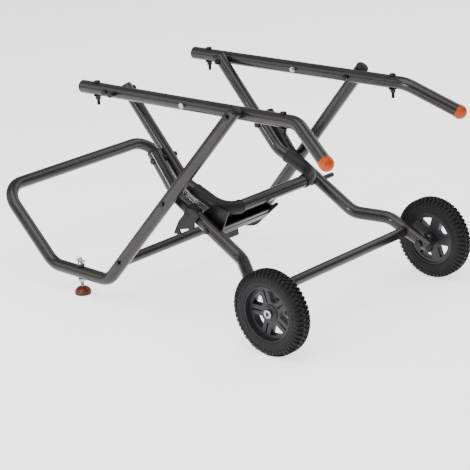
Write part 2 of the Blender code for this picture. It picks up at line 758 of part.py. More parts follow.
def build_levelling_foot():
    """Build the near foot: a domed pad on a stud through the tube, with its nuts."""
    place = Vector((FOOT_TUBE_PLACE.x, SIDES["near"] * LOOP_FRONT_Y, 0))
    pad_r = FOOT_PAD_D / 2
    stud_r = FOOT_STUD_D / 2
    rise = FOOT_PAD_H - FOOT_PAD_BASE
    profile = [(stud_r, FOOT_PAD_H)]
    profile += [(pad_r * math.sin(turn), FOOT_PAD_BASE + rise * math.cos(turn))
                for turn in FOOT_PAD_ANGLES]
    profile += [
        (pad_r, FOOT_PAD_BASE),
        (pad_r, BOLT_CHAMFER),
        (pad_r - BOLT_CHAMFER, 0),
        (stud_r, 0),
    ]
    pad = stand_along(turned("pad", profile, ROUND_SIDES, closed=True), place, Vector((0, 0, 1)))
    attach(gather("foot_pad", [pad]), levelling_pivot, foot_orange)
    stud = rod("stud", place + Vector((0, 0, BOLT_CHAMFER)), place + Vector((0, 0, FOOT_STUD_TOP)),
               stud_r - TOUCH_GAP, STUD_SIDES)
    attach(gather("foot_stud", [stud]), levelling_pivot, bright_steel)
    nut_bore = FOOT_STUD_D + 2 * BOLT_HOLE_GAP
    tube_z = FOOT_TUBE_PLACE.z
    under = Vector((place.x, place.y, tube_z - FRAME_R - TUBE_SLOPE_GAP))
    lock = ring("lock", under, Vector((0, 0, -1)), nut_bore, FOOT_NUT_D, FOOT_NUT, BOLT_SIDES,
                BOLT_CHAMFER)
    attach(gather("foot_lock_nut", [lock]), loop_pivot, bright_steel)
    top = Vector((place.x, place.y, tube_z + FRAME_R + TUBE_SLOPE_GAP))
    grommet = ring("grommet", top, Vector((0, 0, 1)), nut_bore, GROMMET_D, GROMMET)
    attach(gather("foot_grommet", [grommet]), loop_pivot, black_plastic)
    build_wing_nut(top + Vector((0, 0, GROMMET + TOUCH_GAP)), nut_bore)


def build_wing_nut(place, bore):
    """Build the wing nut that locks the levelling stud from above."""
    hub = ring("hub", place, Vector((0, 0, 1)), bore, FOOT_WING_NUT_D, FOOT_WING_NUT)
    wing_nut = gather("foot_wing_nut", [hub])
    attach(wing_nut, wing_pivot, bright_steel)
    inner = FOOT_WING_NUT_D / 2 - BOLT_CHAMFER
    outer = FOOT_WING_SPAN / 2
    for side_name, sign in SIDES.items():
        outline = [
            (place.x + sign * inner, place.z + FOOT_WING_LIFT),
            (place.x + sign * inner, place.z + FOOT_WING_NUT - FOOT_WING_LIFT),
            (place.x + sign * outer, place.z + FOOT_WING_H),
            (place.x + sign * outer, place.z + FOOT_WING_NUT - FOOT_WING_LIFT),
        ]
        wing = across_stand(outline_plate("wing", outline, FOOT_WING_THICK), place.y)
        combine(wing_nut, gather(f"foot_wing_{side_name}", [wing]), "UNION")


def leg_corners(y_sign):
    """Return the corners of one wheel leg, from its top end to its end past the axle."""
    pivot = side(LEG_PIVOT, y_sign * LEG_Y)
    brace = side(OPEN_PIVOT, y_sign * LEG_Y)
    jog_end = side(LEG_JOG_END, y_sign * AXLE_LEG_Y)
    axle = side(AXLE, y_sign * AXLE_LEG_Y)
    return [
        brace + (brace - pivot).normalized() * LEG_END_OVERHANG,
        pivot,
        side(LEG_JOG_START, y_sign * LEG_Y),
        jog_end,
        axle + (axle - jog_end).normalized() * LEG_AXLE_OVERHANG,
    ]


def build_wheel_leg(end, y_sign):
    """Build one wheel leg, bent at its pivot and jogged outwards to the wheel."""
    corners = leg_corners(y_sign)
    path = bent_path(corners, [LEG_BEND_R, LEG_JOG_BEND_R, LEG_JOG_BEND_R])
    leg = gather(f"wheel_leg_{end}", [curve_tube("leg_tube", path, FRAME_R)])
    attach(leg, leg_pivot, tube_paint)
    fittings = [leg_point(STOP_RUN, STOP_RISE)]
    if end == "near":
        fittings = [CATCH_PIVOT, leg_point(LEVER_PIVOT_RUN, 0)]
    places = [side(place, y_sign * LEG_Y) for place in (LEG_PIVOT, OPEN_PIVOT, *fittings)]
    hole_length = FRAME_TUBE_D + CUT_OVERRUN
    drill(leg, f"wheel_leg_{end}_holes", places, hole_length, BOLT_HOLE_R)
    axle_place = side(AXLE, y_sign * AXLE_LEG_Y)
    drill(leg, f"wheel_leg_{end}_axle_hole", [axle_place], hole_length,
          AXLE_D / 2 + BOLT_HOLE_GAP)
    for name, tip, before in (("top", corners[0], corners[1]), ("foot", corners[-1], corners[-2])):
        plug = dome_plug("plug", tip, (tip - before).normalized(), FRAME_TUBE_D)
        attach(gather(f"wheel_leg_{name}_plug_{end}", [plug]), leg_pivot, black_plastic)


def build_axle_tube():
    """Build the cross tube between the wheel legs, its ends shaped to them."""
    place = LEG_JOG_END.lerp(AXLE, AXLE_TUBE_SHARE)
    half = Vector((0, AXLE_LEG_Y, 0))
    bar = gather("axle_cross_tube", [rod("bar", place - half, place + half, CROSS_R, TUBE_SIDES)])
    attach(bar, leg_pivot, tube_paint)
    copes = []
    for y_sign in SIDES.values():
        corners = leg_corners(y_sign)
        copes.append(rod("cope", corners[-2], corners[-1], FRAME_R + TOUCH_GAP, ROUND_SIDES))
    combine(bar, gather("axle_cross_tube_copes", copes), "DIFFERENCE")


def build_leg_pivot_bolt(end, y_sign):
    """Build the bolt and spacer between the foot loop and a wheel leg."""
    outward = Vector((0, y_sign, 0))
    face = side(LEG_PIVOT, y_sign * (LOOP_Y_AT_LEG + FRAME_R + SPLAY_GAP))
    inside = side(LEG_PIVOT, y_sign * (LEG_Y - FRAME_R - TOUCH_GAP))
    spacer_start = y_sign * (LEG_Y + FRAME_R + TOUCH_GAP)
    spacer_end = y_sign * (LOOP_Y_AT_LEG - FRAME_R - SPLAY_GAP)
    bolt(f"leg_pivot_bolt_{end}", leg_pivot, black_steel, face, outward, inside,
         [(spacer_start, spacer_end, SPACER_D)], thin=True)


def build_open_pivot(end, y_sign):
    """Build the joint of leg and brace: bolt and spacer on the leg, nut on the brace."""
    outward = Vector((0, y_sign, 0))
    face = side(OPEN_PIVOT, y_sign * (LEG_Y + FRAME_R + TOUCH_GAP))
    spacer_start = y_sign * (LEG_Y - FRAME_R - TOUCH_GAP)
    spacer_end = y_sign * (BRACE_Y + BRACE_R + TOUCH_GAP)
    tools = [
        hexagon("head", face, outward, THIN_HEAD),
        rod("spacer", side(OPEN_PIVOT, spacer_start), side(OPEN_PIVOT, spacer_end), SPACER_D / 2),
    ]
    start = face + outward * THIN_HEAD / 2
    tip = side(OPEN_PIVOT, (spacer_start + spacer_end) / 2)
    name = f"open_pivot_bolt_{end}"
    shank = gather(name, [rod("shank", start, tip, BOLT_D / 2, SHANK_SIDES)])
    attach(shank, leg_pivot, black_steel)
    combine(shank, gather(f"{name}_fittings", tools), "UNION")
    seat = side(OPEN_PIVOT, y_sign * (BRACE_Y - BRACE_R - TOUCH_GAP))
    nut = hexagon("nut", seat, -outward, NUT)
    attach(gather(f"open_pivot_nut_{end}", [nut]), brace_pivot, black_steel)


def brace_corners():
    """Return the corners of the brace frame, from one end round to the other."""
    near = [
        side(BRACE_PIVOT, -BRACE_Y),
        side(BRACE_BEND, -BRACE_Y),
        side(BRACE_CORNER, -BRACE_Y),
    ]
    near[0] += (near[0] - near[1]).normalized() * BRACE_END_OVERHANG
    return near + mirrored(near)[::-1]


def build_brace_frame():
    """Build the U-shaped brace tube that hangs between the rails."""
    radii = [BRACE_BEND_R, BRACE_CORNER_R]
    path = bent_path(brace_corners(), radii + radii[::-1])
    frame = gather("brace_frame", [curve_tube("brace_tube", path, BRACE_R)])
    attach(frame, brace_pivot, tube_paint)
    places = [side(BRACE_PIVOT, y_sign * BRACE_Y) for y_sign in SIDES.values()]
    drill(frame, "brace_frame_holes", places, BRACE_TUBE_D + CUT_OVERRUN, BOLT_HOLE_R)


def build_sleeve(end, y_sign):
    """Build the plastic sleeve round one corner of the brace frame."""
    corner = side(BRACE_CORNER, y_sign * BRACE_Y)
    bend = side(BRACE_BEND, y_sign * BRACE_Y)
    along = (bend - corner).normalized()
    across = Vector((0, -y_sign, 0))
    inner = [corner + along * (SLEEVE_RUN + CUT_OVERRUN), corner,
             corner + across * (SLEEVE_CROSS_RUN + CUT_OVERRUN)]
    outer = [corner + along * SLEEVE_RUN, corner, corner + across * SLEEVE_CROSS_RUN]
    shell = curve_tube("shell", bent_path(outer, [BRACE_CORNER_R]),
                       BRACE_R + TOUCH_GAP + SLEEVE_WALL)
    sleeve = attach(gather(f"corner_sleeve_{end}", [shell]), brace_pivot, black_plastic)
    bore = curve_tube("bore", bent_path(inner, [BRACE_CORNER_R]), BRACE_R + TOUCH_GAP)
    combine(sleeve, gather(f"corner_sleeve_{end}_bore", [bore]), "DIFFERENCE")


def tyre_profile():
    """Return the tyre's section, from the outer sidewall over the tread and round the bore."""
    half = TYRE_WIDTH / 2
    tread = [(WHEEL_R - TREAD_DROP, half - TREAD_DROP), (WHEEL_R, TREAD_HALF)]
    wall = [(TYRE_BORE_R, TYRE_BEAD_HALF), (SIDEWALL_RIM_R, half), (SIDEWALL_R, half)]
    front = wall + tread
    back = [(radius, -height) for radius, height in reversed(front)]
    return front + back


def build_tyre(end, y_sign):
    """Build one tyre: a turned section with staggered shoulder lugs cut by notches."""
    tyre = turned("tyre", tyre_profile(), WHEEL_SIDES, closed=True)
    centre = side(AXLE, y_sign * WHEEL_Y)
    tyre = gather(f"tyre_{end}", [lay_wheel(tyre, centre, y_sign)])
    attach(tyre, wheel_pivots[end], tyre_rubber)
    reach = TYRE_WIDTH / 2 + CUT_OVERRUN - LUG_NOTCH_START
    size = (2 * LUG_NOTCH_DEPTH, LUG_NOTCH_WIDTH, reach)
    notches = []
    for index in range(2 * LUG_COUNT):
        turn = math.pi * (index + 0.5) / LUG_COUNT
        face = 1 if index % 2 else -1
        notch = block("notch", size, Vector((0, 0, 0)))
        notch.data.transform(Matrix.Translation((WHEEL_R, 0, face * (LUG_NOTCH_START + reach / 2))))
        notch.data.transform(Matrix.Rotation(turn, 4, "Z"))
        notches.append(lay_wheel(notch, centre, y_sign))
    combine(tyre, gather(f"tyre_{end}_notches", notches), "DIFFERENCE")


def lay_wheel(obj, centre, y_sign):
    """Lay a piece made round its own Z axis on the axle, its top facing outwards."""
    turn = Matrix.Rotation(-y_sign * math.radians(90), 4, "X")
    obj.matrix_world = Matrix.Translation(centre) @ turn
    return obj


def hub_profile():
    """Return the hub's section: rim barrel, dished web and central boss."""
    rim_r = TYRE_BORE_R - TOUCH_GAP
    rim_inner = rim_r - RIM_WALL
    bore = AXLE_D / 2 + AXLE_RUNNING_GAP
    boss_back = -(WHEEL_Y - AXLE_LEG_Y - FRAME_R - AXLE_WASHER - 2 * TOUCH_GAP)
    return [
        (rim_inner, TYRE_BEAD_HALF),
        (rim_r, TYRE_BEAD_HALF),
        (rim_r, -TYRE_BEAD_HALF),
        (rim_inner, -TYRE_BEAD_HALF),
        (rim_inner, WEB_FRONT_OUTER - WEB_THICKNESS),
        (WEB_INNER_R, WEB_FRONT_INNER - WEB_THICKNESS),
        (BOSS_R, WEB_FRONT_INNER - WEB_THICKNESS),
        (BOSS_R, boss_back),
        (bore, boss_back),
        (bore, BOSS_FRONT),
        (BOSS_R - BOLT_CHAMFER, BOSS_FRONT),
        (WEB_INNER_R, WEB_FRONT_INNER),
        (rim_inner, WEB_FRONT_OUTER),
    ]


def spoke_opening(turn):
    """Return the outline of the rounded triangle between two spokes."""
    half_angle = math.pi / SPOKE_COUNT
    outer_half = half_angle - math.asin(SPOKE_WIDTH / 2 / OPENING_OUTER_R)
    inner_half = half_angle - math.asin(SPOKE_WIDTH / 2 / OPENING_INNER_R)
    outline = [(OPENING_INNER_R, -inner_half), (OPENING_INNER_R, inner_half)]
    for step in range(OPENING_ARC_STEPS + 1):
        outline.append((OPENING_OUTER_R, outer_half - 2 * outer_half * step / OPENING_ARC_STEPS))
    return [(radius * math.cos(turn + angle), radius * math.sin(turn + angle))
            for radius, angle in outline]


def build_hub(end, y_sign):
    """Build one wheel's moulded hub with its paired spokes."""
    centre = side(AXLE, y_sign * WHEEL_Y)
    hub = turned("hub", hub_profile(), HUB_SIDES, closed=True)
    hub = gather(f"hub_{end}", [lay_wheel(hub, centre, y_sign)])
    attach(hub, wheel_pivots[end], black_plastic)
    tools = []
    grooves = []
    for index in range(SPOKE_COUNT):
        spoke_turn = math.pi + 2 * math.pi * index / SPOKE_COUNT
        outline = spoke_opening(spoke_turn + math.pi / SPOKE_COUNT)
        tools.append(lay_wheel(outline_plate("opening", outline, TYRE_WIDTH), centre, y_sign))
        slot_length = SPOKE_SLOT_OUTER_R - SPOKE_SLOT_INNER_R
        groove = block("groove", (slot_length, SPOKE_SLOT, 2 * SPOKE_SLOT_DEPTH), Vector((0, 0, 0)))
        middle = (SPOKE_SLOT_OUTER_R + SPOKE_SLOT_INNER_R) / 2
        web_mid = (WEB_FRONT_INNER + WEB_FRONT_OUTER) / 2
        groove.data.transform(Matrix.Translation((middle, 0, web_mid)))
        groove.data.transform(Matrix.Rotation(spoke_turn, 4, "Z"))
        grooves.append(lay_wheel(groove, centre, y_sign))
    combine(hub, gather(f"hub_{end}_openings", tools), "DIFFERENCE")
    combine(hub, gather(f"hub_{end}_grooves", grooves), "DIFFERENCE")


def build_axle_bolt(end, y_sign):
    """Build a wheel's axle: socket head, shaft through hub and leg, washer and nut."""
    outward = Vector((0, y_sign, 0))
    head_y = WHEEL_Y + BOSS_FRONT + TOUCH_GAP
    washer_y = AXLE_LEG_Y + FRAME_R + TOUCH_GAP
    nut_y = AXLE_LEG_Y - FRAME_R - TOUCH_GAP
    axle_r = AXLE_D / 2
    marks = [
        (0, head_y + AXLE_HEAD - AXLE_SOCKET_DEPTH),
        (AXLE_SOCKET_D / 2, head_y + AXLE_HEAD - AXLE_SOCKET_DEPTH),
        (AXLE_SOCKET_D / 2, head_y + AXLE_HEAD),
        (AXLE_HEAD_D / 2 - BOLT_CHAMFER, head_y + AXLE_HEAD),
        (AXLE_HEAD_D / 2, head_y + AXLE_HEAD - BOLT_CHAMFER),
        (AXLE_HEAD_D / 2, head_y),
        (axle_r, head_y),
        (axle_r, washer_y + AXLE_WASHER),
        (AXLE_WASHER_D / 2, washer_y + AXLE_WASHER),
        (AXLE_WASHER_D / 2, washer_y),
        (axle_r, washer_y),
        (axle_r, nut_y),
        (AXLE_NUT_D / 2, nut_y),
        (AXLE_NUT_D / 2, nut_y - NUT),
        (0, nut_y - NUT),
    ]
    axle = stand_along(turned("axle", marks, AXLE_SIDES), side(AXLE, 0), outward)
    attach(gather(f"axle_bolt_{end}", [axle]), leg_pivot, bright_steel)


def ear_outline():
    """Return the outline of the catch's side plate, which stands up beside the brace tube."""
    marks = [
        (EAR_START_RUN, EAR_START_RISE),
        (CATCH_PIVOT_RUN - EAR_FOOT_DEPTH, -EAR_FOOT_DEPTH),
        (EAR_FRONT_RUN, -EAR_FOOT_DEPTH),
        (EAR_FRONT_RUN, CHANNEL_RISE),
        (EAR_TOP_RUN, EAR_TOP_RISE),
        (EAR_BACK_RUN, EAR_BACK_RISE),
    ]
    return [leg_point(run, rise).xz for run, rise in marks]


def build_ear():
    """Build the catch's side plate against the inside of the near wheel leg."""
    y = -(LEG_Y - FRAME_R - CATCH_SIDE_GAP - CATCH_PLATE / 2)
    ear = gather("catch_side_plate", [across_stand(outline_plate("ear", ear_outline(), CATCH_PLATE), y)])
    attach(ear, catch_pivot, black_steel)
    drill(ear, "catch_side_plate_hole", [side(CATCH_PIVOT, y)], 2 * CATCH_PLATE, BOLT_HOLE_R)


def build_channel():
    """Build the open channel that carries the pedal under the brace tube."""
    start = CATCH_PIVOT_RUN - CHANNEL_WIDTH / 2 + CHANNEL_WALL
    end = start + CHANNEL_WIDTH
    low = CHANNEL_RISE - CHANNEL_DEPTH
    marks = [
        (start, CHANNEL_RISE),
        (start, low),
        (end, low),
        (end, CHANNEL_RISE),
        (end - CHANNEL_WALL, CHANNEL_RISE),
        (end - CHANNEL_WALL, low + CHANNEL_WALL),
        (start + CHANNEL_WALL, low + CHANNEL_WALL),
        (start + CHANNEL_WALL, CHANNEL_RISE),
    ]
    near_y = LEG_Y - FRAME_R - CATCH_SIDE_GAP - CATCH_PLATE - TOUCH_GAP
    far_y = CHANNEL_END_Y + TOUCH_GAP
    outline = [leg_point(run, rise).xz for run, rise in marks]
    channel = across_stand(outline_plate("channel", outline, near_y - far_y), -(near_y + far_y) / 2)
    attach(gather("catch_channel", [channel]), catch_pivot, tube_paint)


def rounded_outline(runs, rises, radii):
    """Return an outline in X and Z, given along and square to the wheel leg, with round corners."""
    corners = [LEG_RUN_AXIS * run + LEG_RISE_AXIS * rise for run, rise in zip(runs, rises)]
    middle = (corners[0] + corners[-1]) / 2
    return [point.xz for point in bent_path([middle, *corners, middle], radii)[:-1]]


def build_pedal():
    """Build the rounded foot plate at the channel's free end."""
    outline = [CATCH_PIVOT.xz + mark for mark in rounded_outline(PEDAL_RUNS, PEDAL_RISES, PEDAL_CORNER_R)]
    y = -(CHANNEL_END_Y - PEDAL_PLATE / 2)
    plate = across_stand(outline_plate("pedal", outline, PEDAL_PLATE), y)
    attach(gather("release_pedal", [plate]), catch_pivot, black_plastic)


def build_lever():
    """Build the hooked lever that hangs outside the saddle on its own moulded pin."""
    pin = leg_point(LEVER_PIVOT_RUN, 0)
    outline = [leg_point(LEVER_PIVOT_RUN + run, rise).xz for run, rise in zip(LEVER_RUNS, LEVER_RISES)]
    inner = LEG_Y + FRAME_R + TOUCH_GAP + SADDLE_WALL + CATCH_SIDE_GAP
    middle = inner + LEVER_PLATE / 2
    lever = gather("release_lever", [across_stand(outline_plate("lever", outline, LEVER_PLATE), -middle)])
    attach(lever, lever_pivot, black_plastic)
    stub = rod("stub", side(pin, -middle), side(pin, LEVER_PIN_DEPTH - LEG_Y - FRAME_R), BOLT_D / 2)
    combine(lever, gather("release_lever_pin", [stub]), "UNION")


def build_catch_bolt():
    """Build the bolt on which the side plate, the channel and the foot plate turn together."""
    face = side(CATCH_PIVOT, -(LEG_Y + FRAME_R + TOUCH_GAP))
    inside = side(CATCH_PIVOT, -(LEG_Y - FRAME_R - CATCH_SIDE_GAP - CATCH_PLATE - TOUCH_GAP))
    bolt("catch_bolt", catch_pivot, black_steel, face, Vector((0, -1, 0)), inside, thin=True)


def build_saddle():
    """Build the black saddle that clips over the near wheel leg and carries the lever's pin."""
    inner = FRAME_R + TOUCH_GAP
    outer = inner + SADDLE_WALL
    arc = [math.pi * step / SADDLE_ARC_STEPS for step in range(SADDLE_ARC_STEPS + 1)]
    outline = [(outer, -SADDLE_DROP)]
    outline += [(outer * math.cos(turn), outer * math.sin(turn)) for turn in arc]
    outline += [(-outer, -SADDLE_DROP), (-inner, -SADDLE_DROP)]
    outline += [(-inner * math.cos(turn), inner * math.sin(turn)) for turn in arc]
    outline.append((inner, -SADDLE_DROP))
    saddle = outline_plate("saddle", outline, SADDLE_END_RUN - SADDLE_START_RUN)
    middle = leg_point((SADDLE_START_RUN + SADDLE_END_RUN) / 2, 0)
    across = LEG_RISE_AXIS.cross(LEG_RUN_AXIS)
    turn = Matrix((across, LEG_RISE_AXIS, across.cross(LEG_RISE_AXIS))).transposed().to_4x4()
    saddle.matrix_world = Matrix.Translation(side(middle, -LEG_Y)) @ turn
    saddle = attach(gather("leg_saddle", [saddle]), leg_pivot, black_plastic)
    outer_wall = side(leg_point(LEVER_PIVOT_RUN, 0), -(LEG_Y + FRAME_R))
    drill(saddle, "leg_saddle_hole", [outer_wall], FRAME_R, BOLT_HOLE_R)


def build_spring():
    """Build the release spring as one coil with straight tails, and print its least gap.

    Its tails run nearest the leg: one lies on the tube's bend, one meets the saddle's wall.
    """
    wire_r = SPRING_WIRE_D / 2
    lean = math.atan2(SPRING_SIDE, SPRING_RISE)
    tail_rise = SPRING_RISE - SPRING_COIL_R * math.cos(lean)
    tail_side = SPRING_SIDE - SPRING_COIL_R * math.sin(lean)
    back = LEG_PIVOT - OPEN_PIVOT
    bend_reach = LEG_BEND_R * math.tan(back.angle(LEG_RUN_AXIS) / 2)
    touch_rise = math.sqrt((FRAME_R + TOUCH_GAP + wire_r) ** 2 - tail_side ** 2)
    start_run = bend_reach - math.sqrt(2 * LEG_BEND_R * (tail_rise - touch_rise))
    end_run = SADDLE_START_RUN - TOUCH_GAP
    coil_start = start_run + SPRING_TAIL
    coil_end = end_run - SPRING_TAIL
    points = [side(leg_point(start_run, tail_rise), tail_side - LEG_Y)]
    count = SPRING_TURNS * SPRING_POINTS_PER_TURN
    for index in range(count + 1):
        turn = lean + 2 * math.pi * index / SPRING_POINTS_PER_TURN
        run = coil_start + (coil_end - coil_start) * index / count
        rise = SPRING_RISE - SPRING_COIL_R * math.cos(turn)
        across = SPRING_SIDE - SPRING_COIL_R * math.sin(turn)
        points.append(side(leg_point(run, rise), across - LEG_Y))
    points.append(side(leg_point(end_run, tail_rise), tail_side - LEG_Y))
    spring = curve_tube("release_spring", points, wire_r, SPRING_SIDES)
    attach(spring, leg_pivot, bright_steel)
    coil = points[1:-1]
    gaps = [
        (first - second).length - SPRING_WIRE_D
        for index, first in enumerate(coil)
        for second in coil[index + SPRING_POINTS_PER_TURN // 2 + 1:]]
    print(f"release spring: least gap to itself {min(gaps) * 1000:.2f} mm")


def build_stop():
    """Build the fold stop: a peg on the far wheel leg that meets the foot loop when folded."""
    outward = Vector((0, 1, 0))
    place = leg_point(STOP_RUN, STOP_RISE)
    face = side(place, LEG_Y + FRAME_R + TOUCH_GAP)
    inside = side(place, LEG_Y - FRAME_R - TOUCH_GAP)
    peg_r = STOP_PEG_D / 2
    bolt_r = BOLT_D / 2
    depth = (face - inside).length
    profile = [
        (0, STOP_PEG_LENGTH),
        (peg_r - BOLT_CHAMFER, STOP_PEG_LENGTH),
        (peg_r, STOP_PEG_LENGTH - BOLT_CHAMFER),
        (peg_r, STOP_COLLAR),
        (STOP_COLLAR_D / 2, STOP_COLLAR),
        (STOP_COLLAR_D / 2, 0),
        (bolt_r, 0),
        (bolt_r, -depth),
        (BOLT_HEAD_D / 2, -depth),
        (BOLT_HEAD_D / 2, -depth - NUT),
        (0, -depth - NUT),
    ]
    peg = stand_along(turned("peg", profile, STUD_SIDES), face, outward)
    attach(gather("stop_peg", [peg]), leg_pivot, black_steel)


clear_scene()
parts = make_collection("table_saw_stand")
cutters = make_collection("cutters")

tube_paint = make_material("tube_paint", (0.085, 0.078, 0.070), 0.38, 0.55)
black_plastic = make_material("black_plastic", (0.018, 0.018, 0.019), 0.55, 0)
black_steel = make_material("black_steel", (0.022, 0.022, 0.024), 0.40, 0.6)
bright_steel = make_material("bright_steel", (0.62, 0.63, 0.65), 0.25, 1)
orange_plastic = make_material("orange_plastic", (0.85, 0.16, 0.02), 0.45, 0)
foot_orange = make_material("foot_orange", (0.55, 0.09, 0.02), 0.55, 0)
foot_rubber = make_material("foot_rubber", (0.03, 0.03, 0.03), 0.85, 0)
tyre_rubber = make_material("tyre_rubber", (0.025, 0.025, 0.027), 0.8, 0)

stand = bpy.data.objects.new("stand", None)
parts.objects.link(stand)
stand.location = (-CENTRE_X, 0, 0)
rail_frame = make_pivot("rail_frame", Vector((0, 0, 0)), stand)
loop_pivot = make_pivot("loop_pivot", LOOP_PIVOT, stand)
brace_pivot = make_pivot("brace_pivot", BRACE_PIVOT, stand)
leg_pivot = make_pivot("leg_pivot", LEG_PIVOT, loop_pivot)
catch_pivot = make_pivot("catch_pivot", side(CATCH_PIVOT, -LEG_Y), leg_pivot)
lever_pivot = make_pivot("lever_pivot", side(leg_point(LEVER_PIVOT_RUN, 0), -LEG_Y), leg_pivot)
foot_place = side(FOOT_TUBE_PLACE, SIDES["near"] * LOOP_FRONT_Y)
levelling_pivot = make_pivot("levelling_pivot", foot_place, loop_pivot)
wing_pivot = make_pivot("wing_pivot", foot_place, loop_pivot)
wheel_pivots = {
    end: make_pivot(f"wheel_pivot_{end}", side(AXLE, y_sign * WHEEL_Y), leg_pivot)
    for end, y_sign in SIDES.items()}

for end, y_sign in SIDES.items():
    build_rail(end, y_sign)
    build_handle_cap(end, y_sign)
    build_wheel_leg(end, y_sign)
    build_sleeve(end, y_sign)
    build_tyre(end, y_sign)
    build_hub(end, y_sign)
    build_rail_bolts(end, y_sign)
    build_brace_pivot_bolt(end, y_sign)
    build_loop_pivot_bolt(end, y_sign)
    build_leg_pivot_bolt(end, y_sign)
    build_open_pivot(end, y_sign)
    build_axle_bolt(end, y_sign)
build_saw_studs()
build_foot_loop()
build_stretcher()
build_fixed_foot()
build_levelling_foot()
build_axle_tube()
build_brace_frame()
build_ear()
build_channel()
build_pedal()
build_lever()
build_catch_bolt()
build_saddle()
build_spring()
build_stop()
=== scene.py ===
# %% [markdown]
# # Folding table saw stand
# The real object is a rolling stand: two straight tubes carry the saw, and bent tubes
# under them fold like scissors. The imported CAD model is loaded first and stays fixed.
# Each step below dresses one kind of piece, and says why it is made that way.

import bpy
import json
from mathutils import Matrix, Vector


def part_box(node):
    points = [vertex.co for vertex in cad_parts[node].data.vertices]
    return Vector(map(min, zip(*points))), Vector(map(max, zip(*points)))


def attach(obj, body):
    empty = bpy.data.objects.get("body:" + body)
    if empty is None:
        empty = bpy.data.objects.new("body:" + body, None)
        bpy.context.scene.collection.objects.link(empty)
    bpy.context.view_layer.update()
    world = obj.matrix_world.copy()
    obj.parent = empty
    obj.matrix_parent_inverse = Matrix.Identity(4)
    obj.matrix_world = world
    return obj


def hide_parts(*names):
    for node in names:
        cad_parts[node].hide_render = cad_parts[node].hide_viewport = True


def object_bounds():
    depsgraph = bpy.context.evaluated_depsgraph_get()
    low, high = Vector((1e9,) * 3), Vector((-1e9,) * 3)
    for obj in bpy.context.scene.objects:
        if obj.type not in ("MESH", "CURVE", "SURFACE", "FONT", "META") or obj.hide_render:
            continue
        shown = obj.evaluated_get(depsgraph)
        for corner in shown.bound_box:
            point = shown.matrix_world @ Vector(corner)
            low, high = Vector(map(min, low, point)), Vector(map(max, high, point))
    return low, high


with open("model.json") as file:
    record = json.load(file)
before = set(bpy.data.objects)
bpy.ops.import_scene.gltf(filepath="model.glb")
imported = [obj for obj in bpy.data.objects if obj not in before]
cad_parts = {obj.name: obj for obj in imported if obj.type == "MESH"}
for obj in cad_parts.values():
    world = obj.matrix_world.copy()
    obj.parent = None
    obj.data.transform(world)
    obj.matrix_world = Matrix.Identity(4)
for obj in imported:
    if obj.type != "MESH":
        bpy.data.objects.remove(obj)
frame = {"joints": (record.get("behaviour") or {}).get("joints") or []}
cad_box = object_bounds()

# %% Modules
import json
import math

import bmesh
import bpy
from mathutils import Matrix, Quaternion, Vector

scene = bpy.context.scene

# %% [markdown]
# ## Places
# The side view of the stand is drawn from the floor under the wheels' axle, because that
# is where a wheel meets its leg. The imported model's origin is the middle of the
# footprint, so one small function moves each place over. The joints are read from the
# record, and the distance between the two origins comes from the axle's joint. A hair is
# the gap left where two pieces rest on each other, so that their faces never coincide. An
# edge sharper than the angle of its kind, plates or turned parts, keeps a crisp line.

# %% Places of the side view
joints = {joint["name"]: joint for joint in frame["joints"]}
AXLE_X = joints["wheel_spin_near"]["pos_m"][0]
WHEEL_Y = joints["wheel_spin_far"]["pos_m"][1]
SIDES = {"near": -1, "far": 1}
HAIR = 0.0003
MERGE = 0.00001
PLATE_SHARP = 30
TURNED_SHARP = 28
BORE_D = 0.011
UPWARD = Vector((0, 0, 1))
ACROSS = Vector((0, 1, 0))
ORIGIN = Vector((0, 0, 0))


def at(x, y, z):
    """Return a place given from the floor under the axle."""
    return Vector((x + AXLE_X, y, z))


def side(place, y):
    """Return a place of the side view moved to the given Y."""
    return Vector((place.x, y, place.z))


def joint_place(name, y):
    """Return a joint's place in the side view, moved to the given Y."""
    return side(Vector(joints[name]["pos_m"]), y)


print("axle at", round(AXLE_X, 4), "wheels at", round(WHEEL_Y, 4), "either side")

# %% [markdown]
# ## Two small helpers for colours and nodes
# A hex colour is how a paint chart names a colour. It is stored in sRGB, while Blender's
# sockets hold linear light, so one function converts it. A second one adds a node with
# its settings, its values and its links in one call. It serves materials and Geometry
# Nodes alike, which keeps each tree as short as its idea.


# %% Colour and node helpers
def linear(hex_colour):
    """Return a linear RGBA colour from an sRGB hex value."""
    channels = [int(hex_colour[start:start + 2], 16) / 255 for start in (1, 3, 5)]
    light = [c / 12.92 if c <= 0.04045 else ((c + 0.055) / 1.055) ** 2.4 for c in channels]
    return (*light, 1)


def add_node(tree, kind, values=None, links=None, **settings):
    """Add a node with its settings, input values and links."""
    made = tree.nodes.new(kind)
    for name, value in settings.items():
        setattr(made, name, value)
    for name, value in (values or {}).items():
        made.inputs[name].default_value = value
    for name, source in (links or {}).items():
        tree.links.new(source, made.inputs[name])
    return made


print("paint grey in linear light:", [round(c, 3) for c in linear("#5a5553")])

# %% [markdown]
# ## Surface helper
# Moulded plastic, rubber and powder coat all share one idea: a base colour that varies a
# little over centimetres, a roughness that varies too, and a fine bump. The pattern's
# size is given as the width of its grain in metres. A Noise texture with scale s has
# features about 1/s wide, so the scale is one over that width.

# %% A varied, finely bumped surface
GRAIN_SHARE = 0.45
RAMP_STOPS = (0.36, 0.64)
ROUGH_SPREAD = 0.06
BUMP_SHARE = 0.2


